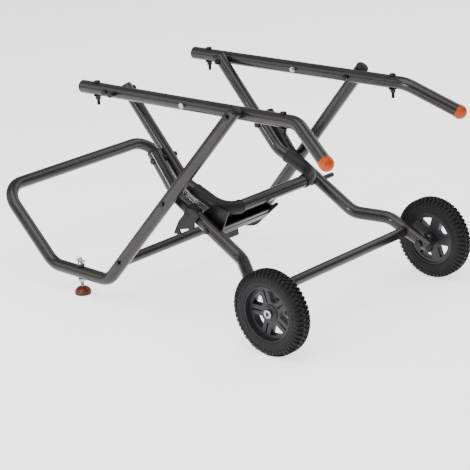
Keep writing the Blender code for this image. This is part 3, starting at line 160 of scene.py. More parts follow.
def surface(name, dark, light, grain, roughness, bump, patch=0.04, **shader_values):
    """Return a material whose colour drifts from dark to light, with a fine grain."""
    material = bpy.data.materials.new(name)
    material.use_nodes = True
    tree = material.node_tree
    shader = tree.nodes["Principled BSDF"]
    for socket, value in shader_values.items():
        shader.inputs[socket.replace("_", " ").title().replace("Ior", "IOR")].default_value = value
    place = add_node(tree, "ShaderNodeTexCoord").outputs["Object"]
    drift = add_node(tree, "ShaderNodeTexNoise", {"Scale": 1 / patch, "Detail": 4}, {"Vector": place})
    fine = add_node(tree, "ShaderNodeTexNoise", {"Scale": 1 / grain, "Detail": 3}, {"Vector": place})
    both = add_node(tree, "ShaderNodeMix", {"Factor": GRAIN_SHARE},
                    {"A": drift.outputs["Fac"], "B": fine.outputs["Fac"]})
    ramp = add_node(tree, "ShaderNodeValToRGB", links={"Fac": both.outputs["Result"]})
    for stop, place_on_ramp, colour in zip(ramp.color_ramp.elements, RAMP_STOPS, (dark, light)):
        stop.position = place_on_ramp
        stop.color = linear(colour)
    rough = add_node(tree, "ShaderNodeMapRange",
                     {"To Min": roughness - ROUGH_SPREAD, "To Max": roughness + ROUGH_SPREAD},
                     {"Value": both.outputs["Result"]})
    height = add_node(tree, "ShaderNodeBump", {"Strength": bump, "Distance": grain * BUMP_SHARE},
                      {"Height": fine.outputs["Fac"]})
    tree.links.new(ramp.outputs["Color"], shader.inputs["Base Color"])
    tree.links.new(rough.outputs["Result"], shader.inputs["Roughness"])
    tree.links.new(height.outputs["Normal"], shader.inputs["Normal"])
    return material


print("surface helper ready")

# %% [markdown]
# ## Finishes
# - The tubes are steel with a gunmetal powder coat: metallic flakes in a clear binder, a
#   soft sheen along the tube and a faint orange peel. Real orange peel is about 1 mm
#   wide. It is drawn 2.5 mm wide, or it would vanish in the render.
# - Bolts are black oxide steel or zinc-plated steel. Zinc keeps a high metallic value.
# - Plugs, sleeves, saddle, lever, foot plate and hubs are moulded black nylon with a
#   spark-eroded grain, so the highlight is broad.
# - The handle caps are glossy soft PVC, the levelling pad is a duller polypropylene.
# - The tyres and the feet are carbon-black rubber, the most matt finish of all.
#
# A slot names what a buyer may repaint. The four finishes that many pieces share are kept
# as pairs of a slot's name and its material.

# %% Materials of the stand
gunmetal_coat = surface("gunmetal_powder_coat", "#211f1e", "#2c2928", 0.0025, 0.25, 0.06, 0.09,
                        metallic=0.35, specular_ior_level=0.5)
black_oxide = surface("black_oxide_steel", "#111113", "#1f1f22", 0.0012, 0.34, 0.10, metallic=0.6)
zinc_plate = surface("zinc_plated_steel", "#8d8f92", "#b3b5b8", 0.0015, 0.26, 0.08, 0.008, metallic=1.0)
grained_nylon = surface("grained_black_nylon", "#08080a", "#0f0f12", 0.0009, 0.52, 0.22,
                        specular_ior_level=0.3)
hub_nylon = surface("moulded_hub_nylon", "#121214", "#1c1c20", 0.0009, 0.46, 0.18,
                     specular_ior_level=0.4)
orange_pvc = surface("glossy_orange_pvc", "#983100", "#ae4200", 0.0012, 0.24, 0.05,
                     specular_ior_level=0.22)
orange_pp = surface("dull_orange_polypropylene", "#481800", "#602300", 0.0012, 0.30, 0.10,
                    specular_ior_level=0.35)
foot_rubber = surface("moulded_foot_rubber", "#121213", "#1c1c1d", 0.0010, 0.72, 0.25)
tyre_rubber = surface("carbon_black_tyre_rubber", "#0a0a0b", "#131315", 0.0011, 0.66, 0.30,
                      specular_ior_level=0.25)
PAINTED = ("tube_paint", gunmetal_coat)
BLACK_STEEL = ("black_steel", black_oxide)
BRIGHT_STEEL = ("bright_steel", zinc_plate)
BLACK_PLASTIC = ("black_plastic", grained_nylon)
print("finishes:", [m.name for m in bpy.data.materials])

# %% [markdown]
# ## Geometry Nodes helpers
# A modifier's input is set by its socket's identifier, so a lookup by name makes that
# readable. The result of a tree is baked to a plain mesh before it joins the stand,
# because the export drops instances.


# %% Tree, input and bake helpers
def new_tree(name, inputs):
    """Return a Geometry Nodes tree with named inputs, its input node and its output node."""
    tree = bpy.data.node_groups.new(name, "GeometryNodeTree")
    tree.interface.new_socket("Geometry", in_out="OUTPUT", socket_type="NodeSocketGeometry")
    tree.interface.new_socket("Geometry", in_out="INPUT", socket_type="NodeSocketGeometry")
    for label, kind in inputs:
        tree.interface.new_socket(label, in_out="INPUT", socket_type=f"NodeSocket{kind}")
    return tree, add_node(tree, "NodeGroupInput"), add_node(tree, "NodeGroupOutput")


def finish_tree(tree, geometry, given, out):
    """End a tree: realize what it holds and give it its material."""
    real = add_node(tree, "GeometryNodeRealizeInstances", links={"Geometry": geometry})
    painted = add_node(tree, "GeometryNodeSetMaterial", links={
        "Geometry": real.outputs["Geometry"], "Material": given.outputs["Material"]})
    tree.links.new(painted.outputs["Geometry"], out.inputs["Geometry"])


def run_tree(carrier, tree, **values):
    """Put a tree on an object and set its inputs, named with underscores for spaces."""
    modifier = carrier.modifiers.new(tree.name, "NODES")
    modifier.node_group = tree
    sockets = {item.name: item.identifier for item in tree.interface.items_tree
               if item.in_out == "INPUT"}
    for label, value in values.items():
        modifier[sockets[label.replace("_", " ")]] = value
    return carrier


def new_object(name, data):
    """Return a new object of a mesh, curve, light or camera, linked to the scene."""
    made = bpy.data.objects.new(name, data)
    scene.collection.objects.link(made)
    return made


def from_bmesh(name, shape):
    """Return a mesh object of a bmesh, which is freed."""
    mesh = bpy.data.meshes.new(name)
    shape.to_mesh(mesh)
    shape.free()
    return new_object(name, mesh)


def bake(carrier, name):
    """Return a plain mesh object of what the modifiers made, its place in its mesh."""
    bpy.context.view_layer.update()
    graph = bpy.context.evaluated_depsgraph_get()
    mesh = bpy.data.meshes.new_from_object(carrier.evaluated_get(graph))
    mesh.transform(carrier.matrix_world)
    bpy.data.objects.remove(carrier)
    return new_object(name, mesh)


def join(name, pieces):
    """Return one piece made of several."""
    shape = bmesh.new()
    for piece in pieces:
        shape.from_mesh(piece.data)
        bpy.data.objects.remove(piece)
    return from_bmesh(name, shape)


def sharpen(piece, degrees=35):
    """Shade a piece smooth, except over edges sharper than the angle."""
    piece.data.shade_smooth()
    piece.data.set_sharp_from_angle(angle=math.radians(degrees))
    return piece


def seat(piece, body, slot, material, *nodes):
    """Give a piece its material, let it ride on its body and hide the CAD nodes it stands for."""
    piece.data.materials.clear()
    piece.data.materials.append(material)
    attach(piece, body)
    if nodes:
        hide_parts(*nodes)
    return piece


print("helpers ready")

# %% [markdown]
# ## Bent tubes
# A bender leaves straight runs joined by arcs, all with the tube's own round section. So
# each tube is one path of points, and one Geometry Nodes tree sweeps a circle along it.
# A Bezier curve would need tuned handles at each bend. Points on a true arc give the
# bend radius that the bender's former has.


# %% The sweep tree and the bender's path
tube_tree, given, out = new_tree("tube_along_path", [
    ("Outside diameter", "Float"), ("Sides", "Int"), ("Material", "Material")])
half = add_node(tube_tree, "ShaderNodeMath", {1: 0.5}, {0: given.outputs["Outside diameter"]},
                operation="MULTIPLY")
circle = add_node(tube_tree, "GeometryNodeCurvePrimitiveCircle", links={
    "Resolution": given.outputs["Sides"], "Radius": half.outputs[0]})
sweep = add_node(tube_tree, "GeometryNodeCurveToMesh", {"Fill Caps": True}, {
    "Curve": given.outputs["Geometry"], "Profile Curve": circle.outputs["Curve"]})
finish_tree(tube_tree, sweep.outputs["Mesh"], given, out)

TUBE_D = 0.03175
TUBE_R = TUBE_D / 2
BRACE_D = 0.030
CROSS_D = 0.0254
TUBE_SIDES = 32
TUBE_SHARP = 50
BEND_STEP = math.radians(4)


def bent_path(corners, radii):
    """Return points of straight runs joined by arcs."""
    points = [corners[0]]
    for before, corner, after, radius in zip(corners, corners[1:], corners[2:], radii):
        back = (before - corner).normalized()
        ahead = (after - corner).normalized()
        half_angle = back.angle(ahead) / 2
        centre = corner + (back + ahead).normalized() * radius / math.sin(half_angle)
        spoke = corner + back * radius / math.tan(half_angle) - centre
        turn = math.pi - 2 * half_angle
        steps = max(2, math.ceil(turn / BEND_STEP))
        for step in range(steps + 1):
            points.append(centre + Quaternion(ahead.cross(back), turn * step / steps) @ spoke)
    return points + [corners[-1]]


def sweep_tube(name, points, diameter, material, sides=TUBE_SIDES, cyclic=False):
    """Return a round tube along a path, swept by the tree and baked."""
    curve = bpy.data.curves.new(name, "CURVE")
    curve.dimensions = "3D"
    spline = curve.splines.new("POLY")
    spline.points.add(len(points) - 1)
    for control, point in zip(spline.points, points):
        control.co = (*point, 1)
    spline.use_cyclic_u = cyclic
    path = new_object(name + "_path", curve)
    run_tree(path, tube_tree, Outside_diameter=diameter, Sides=sides, Material=material)
    return sharpen(bake(path, name), TUBE_SHARP)


print("bend step", round(math.degrees(BEND_STEP)), "degrees")

# %% Rails with their handles
RAIL_Z = joints["loop_fold"]["pos_m"][2]
RAIL_Y = 0.2026
RAIL_START_X = -0.667
HANDLE_BEND_X = 0.007
HANDLE_BEND_R = 0.060
HANDLE_END = at(0.122, 0.25, 0.454)
for end, sign in SIDES.items():
    corners = [at(RAIL_START_X, sign * RAIL_Y, RAIL_Z), at(HANDLE_BEND_X, sign * RAIL_Y, RAIL_Z),
               side(HANDLE_END, sign * HANDLE_END.y)]
    rail = sweep_tube(f"painted_rail_{end}", bent_path(corners, [HANDLE_BEND_R]), TUBE_D, gunmetal_coat)
    seat(rail, "rails", *PAINTED, f"rail_{end}")

# %% [markdown]
# ## The folding linkage
# Each side has four pivots, and every tube runs through two of them: the foot loop turns
# on the rail, the wheel leg turns on the loop, the brace turns on the rail and ends at the
# leg. Their places come from the record's joints. The remaining corners are measured from
# the photograph. Along the wheel leg, run and rise give a place the way a fitter would
# mark it on the tube, so the brace and the catch stay with the leg. The foot loop has one
# hole, for the near foot's stud. Two more points are put on its path beside the hole, so
# that the cut changes only that short piece of the tube.

# %% Pivots and the leg's own directions
LOOP_Y = 0.23595
LOOP_FRONT_Y = 0.2716
LOOP_TOP_Y = 0.264
LEG_Y = 0.211146
BRACE_Y = 0.171025
AXLE_LEG_Y = 0.266125
loop_pivot = joint_place("loop_fold", 0)
leg_pivot = joint_place("leg_fold", 0)
brace_pivot = joint_place("brace_fold", 0)
axle = joint_place("wheel_spin_near", 0)
loop_front = at(-0.561, 0, 0.0543)
loop_rear = at(-0.755, 0, 0.061)
loop_top = at(-0.929, 0, 0.230)
FOOT_SHARE = 0.4948
HOLE_MARGIN = 0.009
LOOP_TAIL = 0.018
LEG_TOP_TAIL = 0.020
LEG_FOOT_TAIL = 0.022
BRACE_TAIL = 0.012
LOOP_RADII = [0.050, 0.060, 0.060]
LEG_BEND_R = 0.080
JOG_BEND_R = 0.050
BRACE_BEND_R = 0.070
BRACE_CORNER_R = 0.048
jog_start = at(-0.1704, 0, 0.1647)
jog_end = at(-0.1004, 0, 0.1474)
leg_run = (jog_start - leg_pivot).normalized()
leg_rise = Vector((-leg_run.z, 0, leg_run.x))


def leg_point(run, rise, y=0):
    """Return a place given along the wheel leg, square to it and across the stand."""
    return side(leg_pivot + leg_run * run + leg_rise * rise, y)


brace_bend = leg_point(-0.02274, 0.01606)
brace_corner = leg_point(0.10852, 0.03529)
open_pivot = brace_pivot.lerp(brace_bend, 0.7126)
print("leg leans", round(math.degrees(math.atan2(-leg_run.z, leg_run.x)), 1), "degrees")


# %% Foot loop, wheel legs and brace frame
def past(corner, before, reach):
    """Return the end of a tube that runs on past its last corner."""
    return corner + (corner - before).normalized() * reach


def both_sides(near):
    """Return a near side's corners followed by the far side's, in the other order."""
    return near + [Vector((corner.x, -corner.y, corner.z)) for corner in near[::-1]]


def with_marks(points, place, reach):
    """Return a path with two more points on a straight run, one either side of a place."""
    for index, (start, end) in enumerate(zip(points, points[1:])):
        along = (end - start).normalized()
        share = (place - start).dot(along)
        off_line = (start + along * share - place).length
        if reach < share < (end - start).length - reach and off_line < HAIR:
            return points[:index + 1] + [place - along * reach, place + along * reach] + points[index + 1:]
    return points


def drilled(piece, name, place, direction, diameter):
    """Return a piece with a round hole cut through it, baked under a new name."""
    rod = [place - direction * TUBE_D, place + direction * TUBE_D]
    cutter = sweep_tube(name + "_drill", rod, diameter, piece.data.materials[0], 24)
    cut = piece.modifiers.new("hole", "BOOLEAN")
    cut.object = cutter
    cut.solver = "EXACT"
    made = bake(piece, name)
    bpy.data.objects.remove(cutter)
    return sharpen(made, TUBE_SHARP)


near_loop = [side(loop_pivot, -LOOP_Y), side(loop_front, -LOOP_FRONT_Y), side(loop_rear, -LOOP_FRONT_Y),
             side(loop_top, -LOOP_TOP_Y)]
near_loop[0] = past(near_loop[0], near_loop[1], LOOP_TAIL)
loop_path = bent_path(both_sides(near_loop), LOOP_RADII + LOOP_RADII[::-1])
foot_middle = loop_front.lerp(loop_rear, FOOT_SHARE)
stud_place = side(foot_middle, -LOOP_FRONT_Y)
marked_path = with_marks(loop_path, stud_place, HOLE_MARGIN)
foot_loop = sweep_tube("foot_loop_blank", marked_path, TUBE_D, gunmetal_coat)
foot_loop = drilled(foot_loop, "painted_foot_loop", stud_place, UPWARD, BORE_D)
seat(foot_loop, "foot_loop", *PAINTED, "foot_loop")

leg_ends = {}
for end, sign in SIDES.items():
    upper = side(open_pivot, sign * LEG_Y)
    middle = side(leg_pivot, sign * LEG_Y)
    lower = side(jog_end, sign * AXLE_LEG_Y)
    corners = [past(upper, middle, LEG_TOP_TAIL), middle, side(jog_start, sign * LEG_Y), lower,
               past(side(axle, sign * AXLE_LEG_Y), lower, LEG_FOOT_TAIL)]
    leg_path = bent_path(corners, [LEG_BEND_R, JOG_BEND_R, JOG_BEND_R])
    leg = sweep_tube(f"painted_wheel_leg_{end}", leg_path, TUBE_D, gunmetal_coat)
    seat(leg, "wheel_legs", *PAINTED, f"wheel_leg_{end}")
    leg_ends[end] = ((corners[0], corners[1]), (corners[-1], corners[-2]))

near_brace = [side(brace_pivot, -BRACE_Y), side(brace_bend, -BRACE_Y), side(brace_corner, -BRACE_Y)]
near_brace[0] = past(near_brace[0], near_brace[1], BRACE_TAIL)
brace_radii = [BRACE_BEND_R, BRACE_CORNER_R, BRACE_CORNER_R, BRACE_BEND_R]
brace_path = bent_path(both_sides(near_brace), brace_radii)
brace = sweep_tube("painted_brace_frame", brace_path, BRACE_D, gunmetal_coat)
seat(brace, "brace", *PAINTED, "brace_frame")
print("loop, legs and brace:", len(loop_path), "points in the longest path")

# %% [markdown]
# ## Cross tubes
# The low bar of the foot loop is bolted, so its ends simply meet the legs. The bar beside
# the axles is welded, and a weld leaves a raised bead. The bead follows the curve where a
# thin tube meets a thicker one square on, so its depth is found from the thick tube's
# circle. The length of each bar is read from its CAD node.

# %% Cross tubes and weld beads
STRETCHER_SHARE = 0.878
AXLE_TUBE_SHARE = 0.52
WELD_D = 0.0036
WELD_SINK = 0.0002
WELD_POINTS = 72
WELD_GAP = 0.0006
WELD_RIPPLE = 0.0004
WELD_RIPPLES = 24
stretcher_place = loop_pivot.lerp(loop_front, STRETCHER_SHARE)
axle_tube_place = jog_end.lerp(axle, AXLE_TUBE_SHARE)
for node, place, body in (("stretcher", stretcher_place, "foot_loop"),
                          ("axle_cross_tube", axle_tube_place, "wheel_legs")):
    low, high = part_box(node)
    half_width = (high[1] - low[1]) / 2 - WELD_SINK
    tips = [side(place, -half_width), side(place, half_width)]
    seat(sweep_tube(f"painted_{node}", tips, CROSS_D, gunmetal_coat), body, *PAINTED, node)

along_leg = (axle - jog_end).normalized()
square_to_leg = Vector((-along_leg.z, 0, along_leg.x))
for end, sign in SIDES.items():
    bead = []
    for index in range(WELD_POINTS):
        angle = 2 * math.pi * index / WELD_POINTS
        reach = CROSS_D / 2 + WELD_GAP + WELD_RIPPLE * math.cos(WELD_RIPPLES * angle)
        rise = reach * math.sin(angle)
        depth = AXLE_LEG_Y - math.sqrt(TUBE_R ** 2 - rise ** 2)
        place = axle_tube_place + along_leg * reach * math.cos(angle) + square_to_leg * rise
        bead.append(side(place, sign * (depth - WELD_SINK)))
    weld = sweep_tube(f"painted_weld_bead_{end}", bead, WELD_D, gunmetal_coat, 8, True)
    seat(weld, "wheel_legs", *PAINTED)
print("weld bead round a", CROSS_D * 1000, "mm tube")

# %% [markdown]
# ## Turned solids
# Plugs, caps, bolt heads and nuts are all turned or hexagonal. One function spins a list of
# rings into a mesh. A ring may also be a function of the angle: a hexagon's rim is nearer
# on its flats, and a chamfer cut on a lathe leaves the curved edges seen on every bolt.


# %% Ring spinner and the hexagon
def spin(shape, rings, place, direction, count=48):
    """Add a turned solid to a bmesh. Its rings run from the middle of its base to its top."""
    frame_turn = UPWARD.rotation_difference(direction).to_matrix().to_4x4()
    matrix = Matrix.Translation(place) @ frame_turn
    loops = []
    for ring in rings:
        spots = []
        for index in range(count):
            angle = 2 * math.pi * index / count
            radius, height = ring(angle) if callable(ring) else ring
            spots.append(matrix @ Vector((radius * math.cos(angle), radius * math.sin(angle), height)))
            if radius == 0:
                break
        loops.append([shape.verts.new(spot) for spot in spots])
    for lower, upper in zip(loops, loops[1:]):
        for index in range(count):
            after = (index + 1) % count
            marks = [lower[index % len(lower)], lower[after % len(lower)],
                     upper[after % len(upper)], upper[index % len(upper)]]
            shape.faces.new(list(dict.fromkeys(marks)))


def stack(shape, rings):
    """Add a closed solid over rings that have the same number of points, its faces outwards."""
    walls = [[shape.verts.new(point) for point in ring] for ring in rings]
    made = [shape.faces.new(walls[0]), shape.faces.new(walls[-1])]
    for lower, upper in zip(walls, walls[1:]):
        for index in range(len(lower)):
            after = (index + 1) % len(lower)
            made.append(shape.faces.new((lower[index], lower[after], upper[after], upper[index])))
    bmesh.ops.recalc_face_normals(shape, faces=made)


def hexagon_rings(start, end, across):
    """Return the rings of a hexagon with both ends chamfered at 30 degrees."""
    flat = across / 2 * math.cos(math.pi / 6)
    chamfer_r = flat * 0.96
    slope = math.tan(math.radians(30))

    def rim(angle):
        """Return the distance from the middle to the hexagon's side at an angle."""
        return flat / math.cos(angle % (math.pi / 3) - math.pi / 6)

    return [(0, start), (chamfer_r, start),
            lambda angle: (rim(angle), start + (rim(angle) - chamfer_r) * slope),
            lambda angle: (rim(angle), end - (rim(angle) - chamfer_r) * slope),
            (chamfer_r, end), (0, end)]


def round_rings(start, end, diameter, edge=0.0005):
    """Return the rings of a plain round solid with softened edges."""
    radius = diameter / 2
    return [(0, start), (radius - edge, start), (radius, start + edge), (radius, end - edge),
            (radius - edge, end), (0, end)]


def dome(radius, base, rise, degrees):
    """Return the rings of a dome over a base height, given their angles from the axis."""
    turns = [math.radians(step) for step in degrees]
    return [(radius * math.sin(turn), base + rise * math.cos(turn)) for turn in turns]


def thread_rings(start, end, diameter, pitch=0.00125):
    """Return the rings of a thread, drawn as ridges one pitch apart."""
    crest = diameter / 2
    root = crest - pitch * 0.45
    rings = [(0, start), (root, start)]
    turns = max(1, round((end - start) / pitch))
    for turn in range(turns):
        rings += [(root, start + (end - start) * (turn + 0.1) / turns),
                  (crest, start + (end - start) * (turn + 0.45) / turns),
                  (crest, start + (end - start) * (turn + 0.6) / turns)]
    return rings + [(root, end), (0, end)]


def fastener(name, place, direction, solids, body, slot, material, node, count=48):
    """Return one piece made of turned solids along one line, standing for a CAD node."""
    shape = bmesh.new()
    for rings in solids:
        spin(shape, rings, place, direction, count)
    bmesh.ops.remove_doubles(shape, verts=shape.verts, dist=MERGE)
    piece = sharpen(from_bmesh(name, shape), TURNED_SHARP)
    return seat(piece, body, slot, material, *([node] if node else []))


print("a 15 mm hexagon has", len(hexagon_rings(0, 0.006, 0.015)), "rings")

# %% [markdown]
# ## Plugs and handle caps
# The plugs are pushed into the tubes, so only a thin flange and a low dome show. The handle
# caps are dipped PVC: a bright dome over the tube's tip, with a short skirt that slides
# over the tube and ends in a rolled lip. So a cap is a little wider than the tube.

# %% Tube plugs
PLUG_FLANGE = 0.0024
PLUG_DOME = 0.006
plug = [(0, HAIR), (TUBE_R - 0.0004, HAIR), (TUBE_R, HAIR + 0.0004), (TUBE_R, PLUG_FLANGE),
        *dome(TUBE_R, PLUG_FLANGE, PLUG_DOME, range(84, 0, -6)), (0, PLUG_FLANGE + PLUG_DOME)]
for end, sign in SIDES.items():
    rail_tip = at(RAIL_START_X, sign * RAIL_Y, RAIL_Z)
    ends = [("rail_plug", "rails", rail_tip, rail_tip + Vector((TUBE_D, 0, 0))),
            ("foot_loop_plug", "foot_loop", *[side(corner, -sign * corner.y) for corner in near_loop[:2]]),
            ("wheel_leg_top_plug", "wheel_legs", *leg_ends[end][0]),
            ("wheel_leg_foot_plug", "wheel_legs", *leg_ends[end][1])]
    for node, body, tip, before in ends:
        fastener(f"moulded_{node}_{end}", tip, (tip - before).normalized(), [plug], body, *BLACK_PLASTIC,
                 f"{node}_{end}")
print("plugs", (PLUG_FLANGE + PLUG_DOME) * 1000, "mm proud of their tubes")

# %% Orange handle caps
CAP_D = 0.0350
CAP_SKIRT = 0.0075
CAP_OVER_TIP = 0.004
cap_r = CAP_D / 2
cap_bore_r = TUBE_R + HAIR
cap = [(0, -CAP_OVER_TIP - 0.0001), (cap_bore_r, -CAP_OVER_TIP - 0.0001), (cap_bore_r, -CAP_SKIRT),
       (cap_r - 0.0010, -CAP_SKIRT), (cap_r - 0.0003, 0.0004 - CAP_SKIRT), (cap_r, 0.0011 - CAP_SKIRT),
       (cap_r, 0.0026 - CAP_SKIRT), (cap_r - 0.0005, 0.0034 - CAP_SKIRT), (cap_r - 0.0003, -0.001),
       (cap_r, 0), *dome(cap_r, 0, cap_r, range(85, 0, -5)), (0, cap_r)]
for end, sign in SIDES.items():
    tip = side(HANDLE_END, sign * HANDLE_END.y)
    outward = (tip - at(HANDLE_BEND_X, sign * RAIL_Y, RAIL_Z)).normalized()
    fastener(f"dipped_handle_cap_{end}", tip + outward * CAP_OVER_TIP, outward, [cap], "rails",
             "orange_plastic", orange_pvc, f"handle_cap_{end}", 64)
print("cap", CAP_D * 1000, "mm over a", TUBE_D * 1000, "mm tube")

# %% [markdown]
# ## Bolts, collars and nuts
# Every pivot is a hexagon bolt through two tubes, with a spacer or a washer between them.
# The tubes hide the shank, so only the parts outside the tubes are drawn. All
# heights are measured from the stand's middle plane, because that is where the tubes'
# places are known. The heads are drawn to the photograph: low and dark, except the bright
# ones in the middle of the rails.

# %% Cross bolts of the rails, the loop, the legs and the brace
HEAD = 0.0055
LOW_HEAD = 0.004
NUT = 0.0075
LOW_NUT = 0.005
THREAD_END = 0.003
HEX_D = 0.015
THREAD_D = 0.008
SPACER_D = 0.018
WASHER_D = 0.021
COLLAR = 0.012
COLLAR_D = 0.0135
RAIL_END_X = -0.580
RAIL_MIDDLE_X = -0.325
SPLAY_HAIR = 0.00074
LEG_SHARE = 0.5062


def splay(share):
    """Return how far from the middle plane the foot loop's leg is at a share of its length."""
    return LOOP_Y + (LOOP_FRONT_Y - LOOP_Y) * share


def head_on(face_y, height=HEAD):
    """Return a hexagon head that stands outwards from a face."""
    return hexagon_rings(face_y, face_y + height, HEX_D)


def nut_inside(face_y, low=False):
    """Return a nut that stands inwards from a face, and the thread's end that shows past it."""
    if low:
        return [hexagon_rings(face_y - LOW_NUT, face_y, HEX_D)]
    return [hexagon_rings(face_y - NUT, face_y, HEX_D),
            thread_rings(face_y - NUT - THREAD_END, face_y - NUT, THREAD_D)]


rail_out = RAIL_Y + TUBE_R + HAIR
rail_in = RAIL_Y - TUBE_R - HAIR
leg_out = LEG_Y + TUBE_R + HAIR
leg_in = LEG_Y - TUBE_R - HAIR
brace_out = BRACE_Y + BRACE_D / 2 + HAIR
brace_in = BRACE_Y - BRACE_D / 2 - HAIR
loop_reach = TUBE_R + SPLAY_HAIR
crossing_y = splay(LEG_SHARE)
short_bolt = [head_on(rail_out), *nut_inside(rail_in)]
cross_bolts = (
    ("rail_end_bolt", at(RAIL_END_X, 0, RAIL_Z), "rails", BLACK_STEEL, short_bolt),
    ("rail_middle_bolt", at(RAIL_MIDDLE_X, 0, RAIL_Z), "rails", BRIGHT_STEEL, short_bolt),
    ("brace_pivot_bolt", brace_pivot, "rails", BLACK_STEEL, [
        round_rings(rail_out, rail_out + COLLAR, COLLAR_D, 0.0008),
        head_on(rail_out + COLLAR), *nut_inside(brace_in)]),
    ("loop_pivot_bolt", loop_pivot, "foot_loop", BLACK_STEEL, [
        head_on(LOOP_Y + loop_reach),
        round_rings(rail_out, LOOP_Y - loop_reach, WASHER_D, 0.0001), *nut_inside(rail_in)]),
    ("stretcher_bolt", stretcher_place, "foot_loop", BLACK_STEEL, [
        head_on(splay(STRETCHER_SHARE) + loop_reach)]),
    ("leg_pivot_bolt", leg_pivot, "wheel_legs", BLACK_STEEL, [
        head_on(crossing_y + loop_reach, LOW_HEAD),
        round_rings(leg_out, crossing_y - loop_reach, SPACER_D), *nut_inside(leg_in, True)]),
    ("open_pivot_bolt", open_pivot, "wheel_legs", BLACK_STEEL, [
        head_on(leg_out, LOW_HEAD), round_rings(brace_out, leg_in, SPACER_D)]),
    ("open_pivot_nut", open_pivot, "brace", BLACK_STEEL, nut_inside(brace_in)[:1]))
for end, sign in SIDES.items():
    for node, place, body, finish, solids in cross_bolts:
        fastener(f"steel_{node}_{end}", place, ACROSS * sign, solids, body, *finish, f"{node}_{end}")
print(len(cross_bolts), "kinds of bolts and nuts on each side, heads", HEX_D * 1000, "mm across corners")

# %% [markdown]
# ## Saw studs
# The saw stands on four studs that pass down through the rails. Above the rail each has a
# low round head. Below it a flanged nut and the thread's end hang in view.

# %% Studs through the rails
STUD_D = 0.008
STUD_STATIONS = {"rear": -0.620, "front": -0.032}
top = TUBE_R + HAIR
stud_head = [(0, top), (0.0078, top), (0.008, top + 0.0006), (0.008, top + 0.0024),
             (0.0072, top + 0.0036), (0.0062, top + 0.004), (0, top + 0.004)]
flange = [(0, -top - 0.003), (0.0075, -top - 0.003), (0.0105, -top - 0.0012), (0.011, -top - 0.0007),
          (0.011, -top), (0, -top)]
stud = [stud_head, flange, hexagon_rings(-top - 0.010, -top - 0.0025, 0.014),
        thread_rings(-TUBE_R - 0.024, -top - 0.010, STUD_D)]
for end, sign in SIDES.items():
    for name, x in STUD_STATIONS.items():
        fastener(f"steel_saw_stud_{name}_{end}", at(x, sign * RAIL_Y, RAIL_Z), UPWARD, stud,
                 "rails", *BLACK_STEEL, f"saw_stud_{name}_{end}")
print("studs", STUD_D * 1000, "mm through the rails")

# %% [markdown]
# ## The two feet
# The near foot screws up and down: a domed pad on a zinc stud, a nut under the tube, a
# rubber grommet over it and a wing nut that locks it. A dark rubber ring under the pad is
# painted shade: it darkens the pad's lower rim. The wings are cast, so they are plates with
# round tips that lean outwards. The far foot is a plain rubber block that tapers from its
# tread up to the tube.

# %% Levelling foot
foot_z = foot_middle.z
foot_floor = Vector((*stud_place.xy, 0))
PAD_R = 0.021
PAD_TOP = 0.021
PAD_BASE = 0.006
FOOT_STUD_TOP = 0.0950
FOOT_STUD_D = 0.0093
FOOT_STUD_PITCH = 0.0015
pad = [(0, 0.0050), (PAD_R - 0.0006, 0.0050), (PAD_R, 0.0054), (PAD_R, 0.0058), (PAD_R - 0.0005, 0.0062),
       *dome(PAD_R, PAD_BASE, PAD_TOP - PAD_BASE, range(88, 18, -5)), (0.0066, 0.0207), (0, 0.0207)]
# Painted shade: a dark rubber ring under the pad darkens its lower rim, where shadow falls near the floor.
pad_shade_ring = [(0, 0.0001), (PAD_R - 0.0016, 0.0001), (PAD_R - 0.0007, 0.0010), (PAD_R - 0.0005, 0.0051),
        (0, 0.0051)]
fastener("moulded_foot_pad", foot_floor, UPWARD, [pad], "levelling_foot", "foot_orange", orange_pp,
         "foot_pad", 64)
# The dark ring of painted shade goes under the pad.
fastener("shade_ring_under_pad", foot_floor, UPWARD, [pad_shade_ring], "levelling_foot", "foot_rubber", foot_rubber,
         None, 64)
foot_thread = thread_rings(PAD_TOP - 0.0015, FOOT_STUD_TOP, FOOT_STUD_D, FOOT_STUD_PITCH)
fastener("threaded_foot_stud", foot_floor, UPWARD, [foot_thread], "levelling_foot", *BRIGHT_STEEL,
         "foot_stud")


def bored(rings, bore_d, start, end):
    """Return a solid's rings with a bore in place of its middle."""
    bore = bore_d / 2
    return [(bore, start), *rings[1:-1], (bore, end), (bore, start)]


SLOPE_HAIR = 0.00065
GROMMET = 0.004
LOCK_NUT = 0.007
LOCK_NUT_D = 0.020
tube_top = foot_z + TUBE_R + SLOPE_HAIR
tube_under = foot_z - TUBE_R - SLOPE_HAIR
nut_base = tube_under - LOCK_NUT
lock_nut = bored(hexagon_rings(nut_base, tube_under, LOCK_NUT_D), BORE_D, nut_base, tube_under)
fastener("zinc_foot_lock_nut", foot_floor, UPWARD, [lock_nut], "foot_loop", *BRIGHT_STEEL, "foot_lock_nut")
grommet_top = tube_top + GROMMET
grommet = bored(round_rings(tube_top, grommet_top, LOCK_NUT_D, 0.0012), BORE_D, tube_top, grommet_top)
fastener("rubber_foot_grommet", foot_floor, UPWARD, [grommet], "foot_loop", "black_plastic", foot_rubber,
         "foot_grommet")

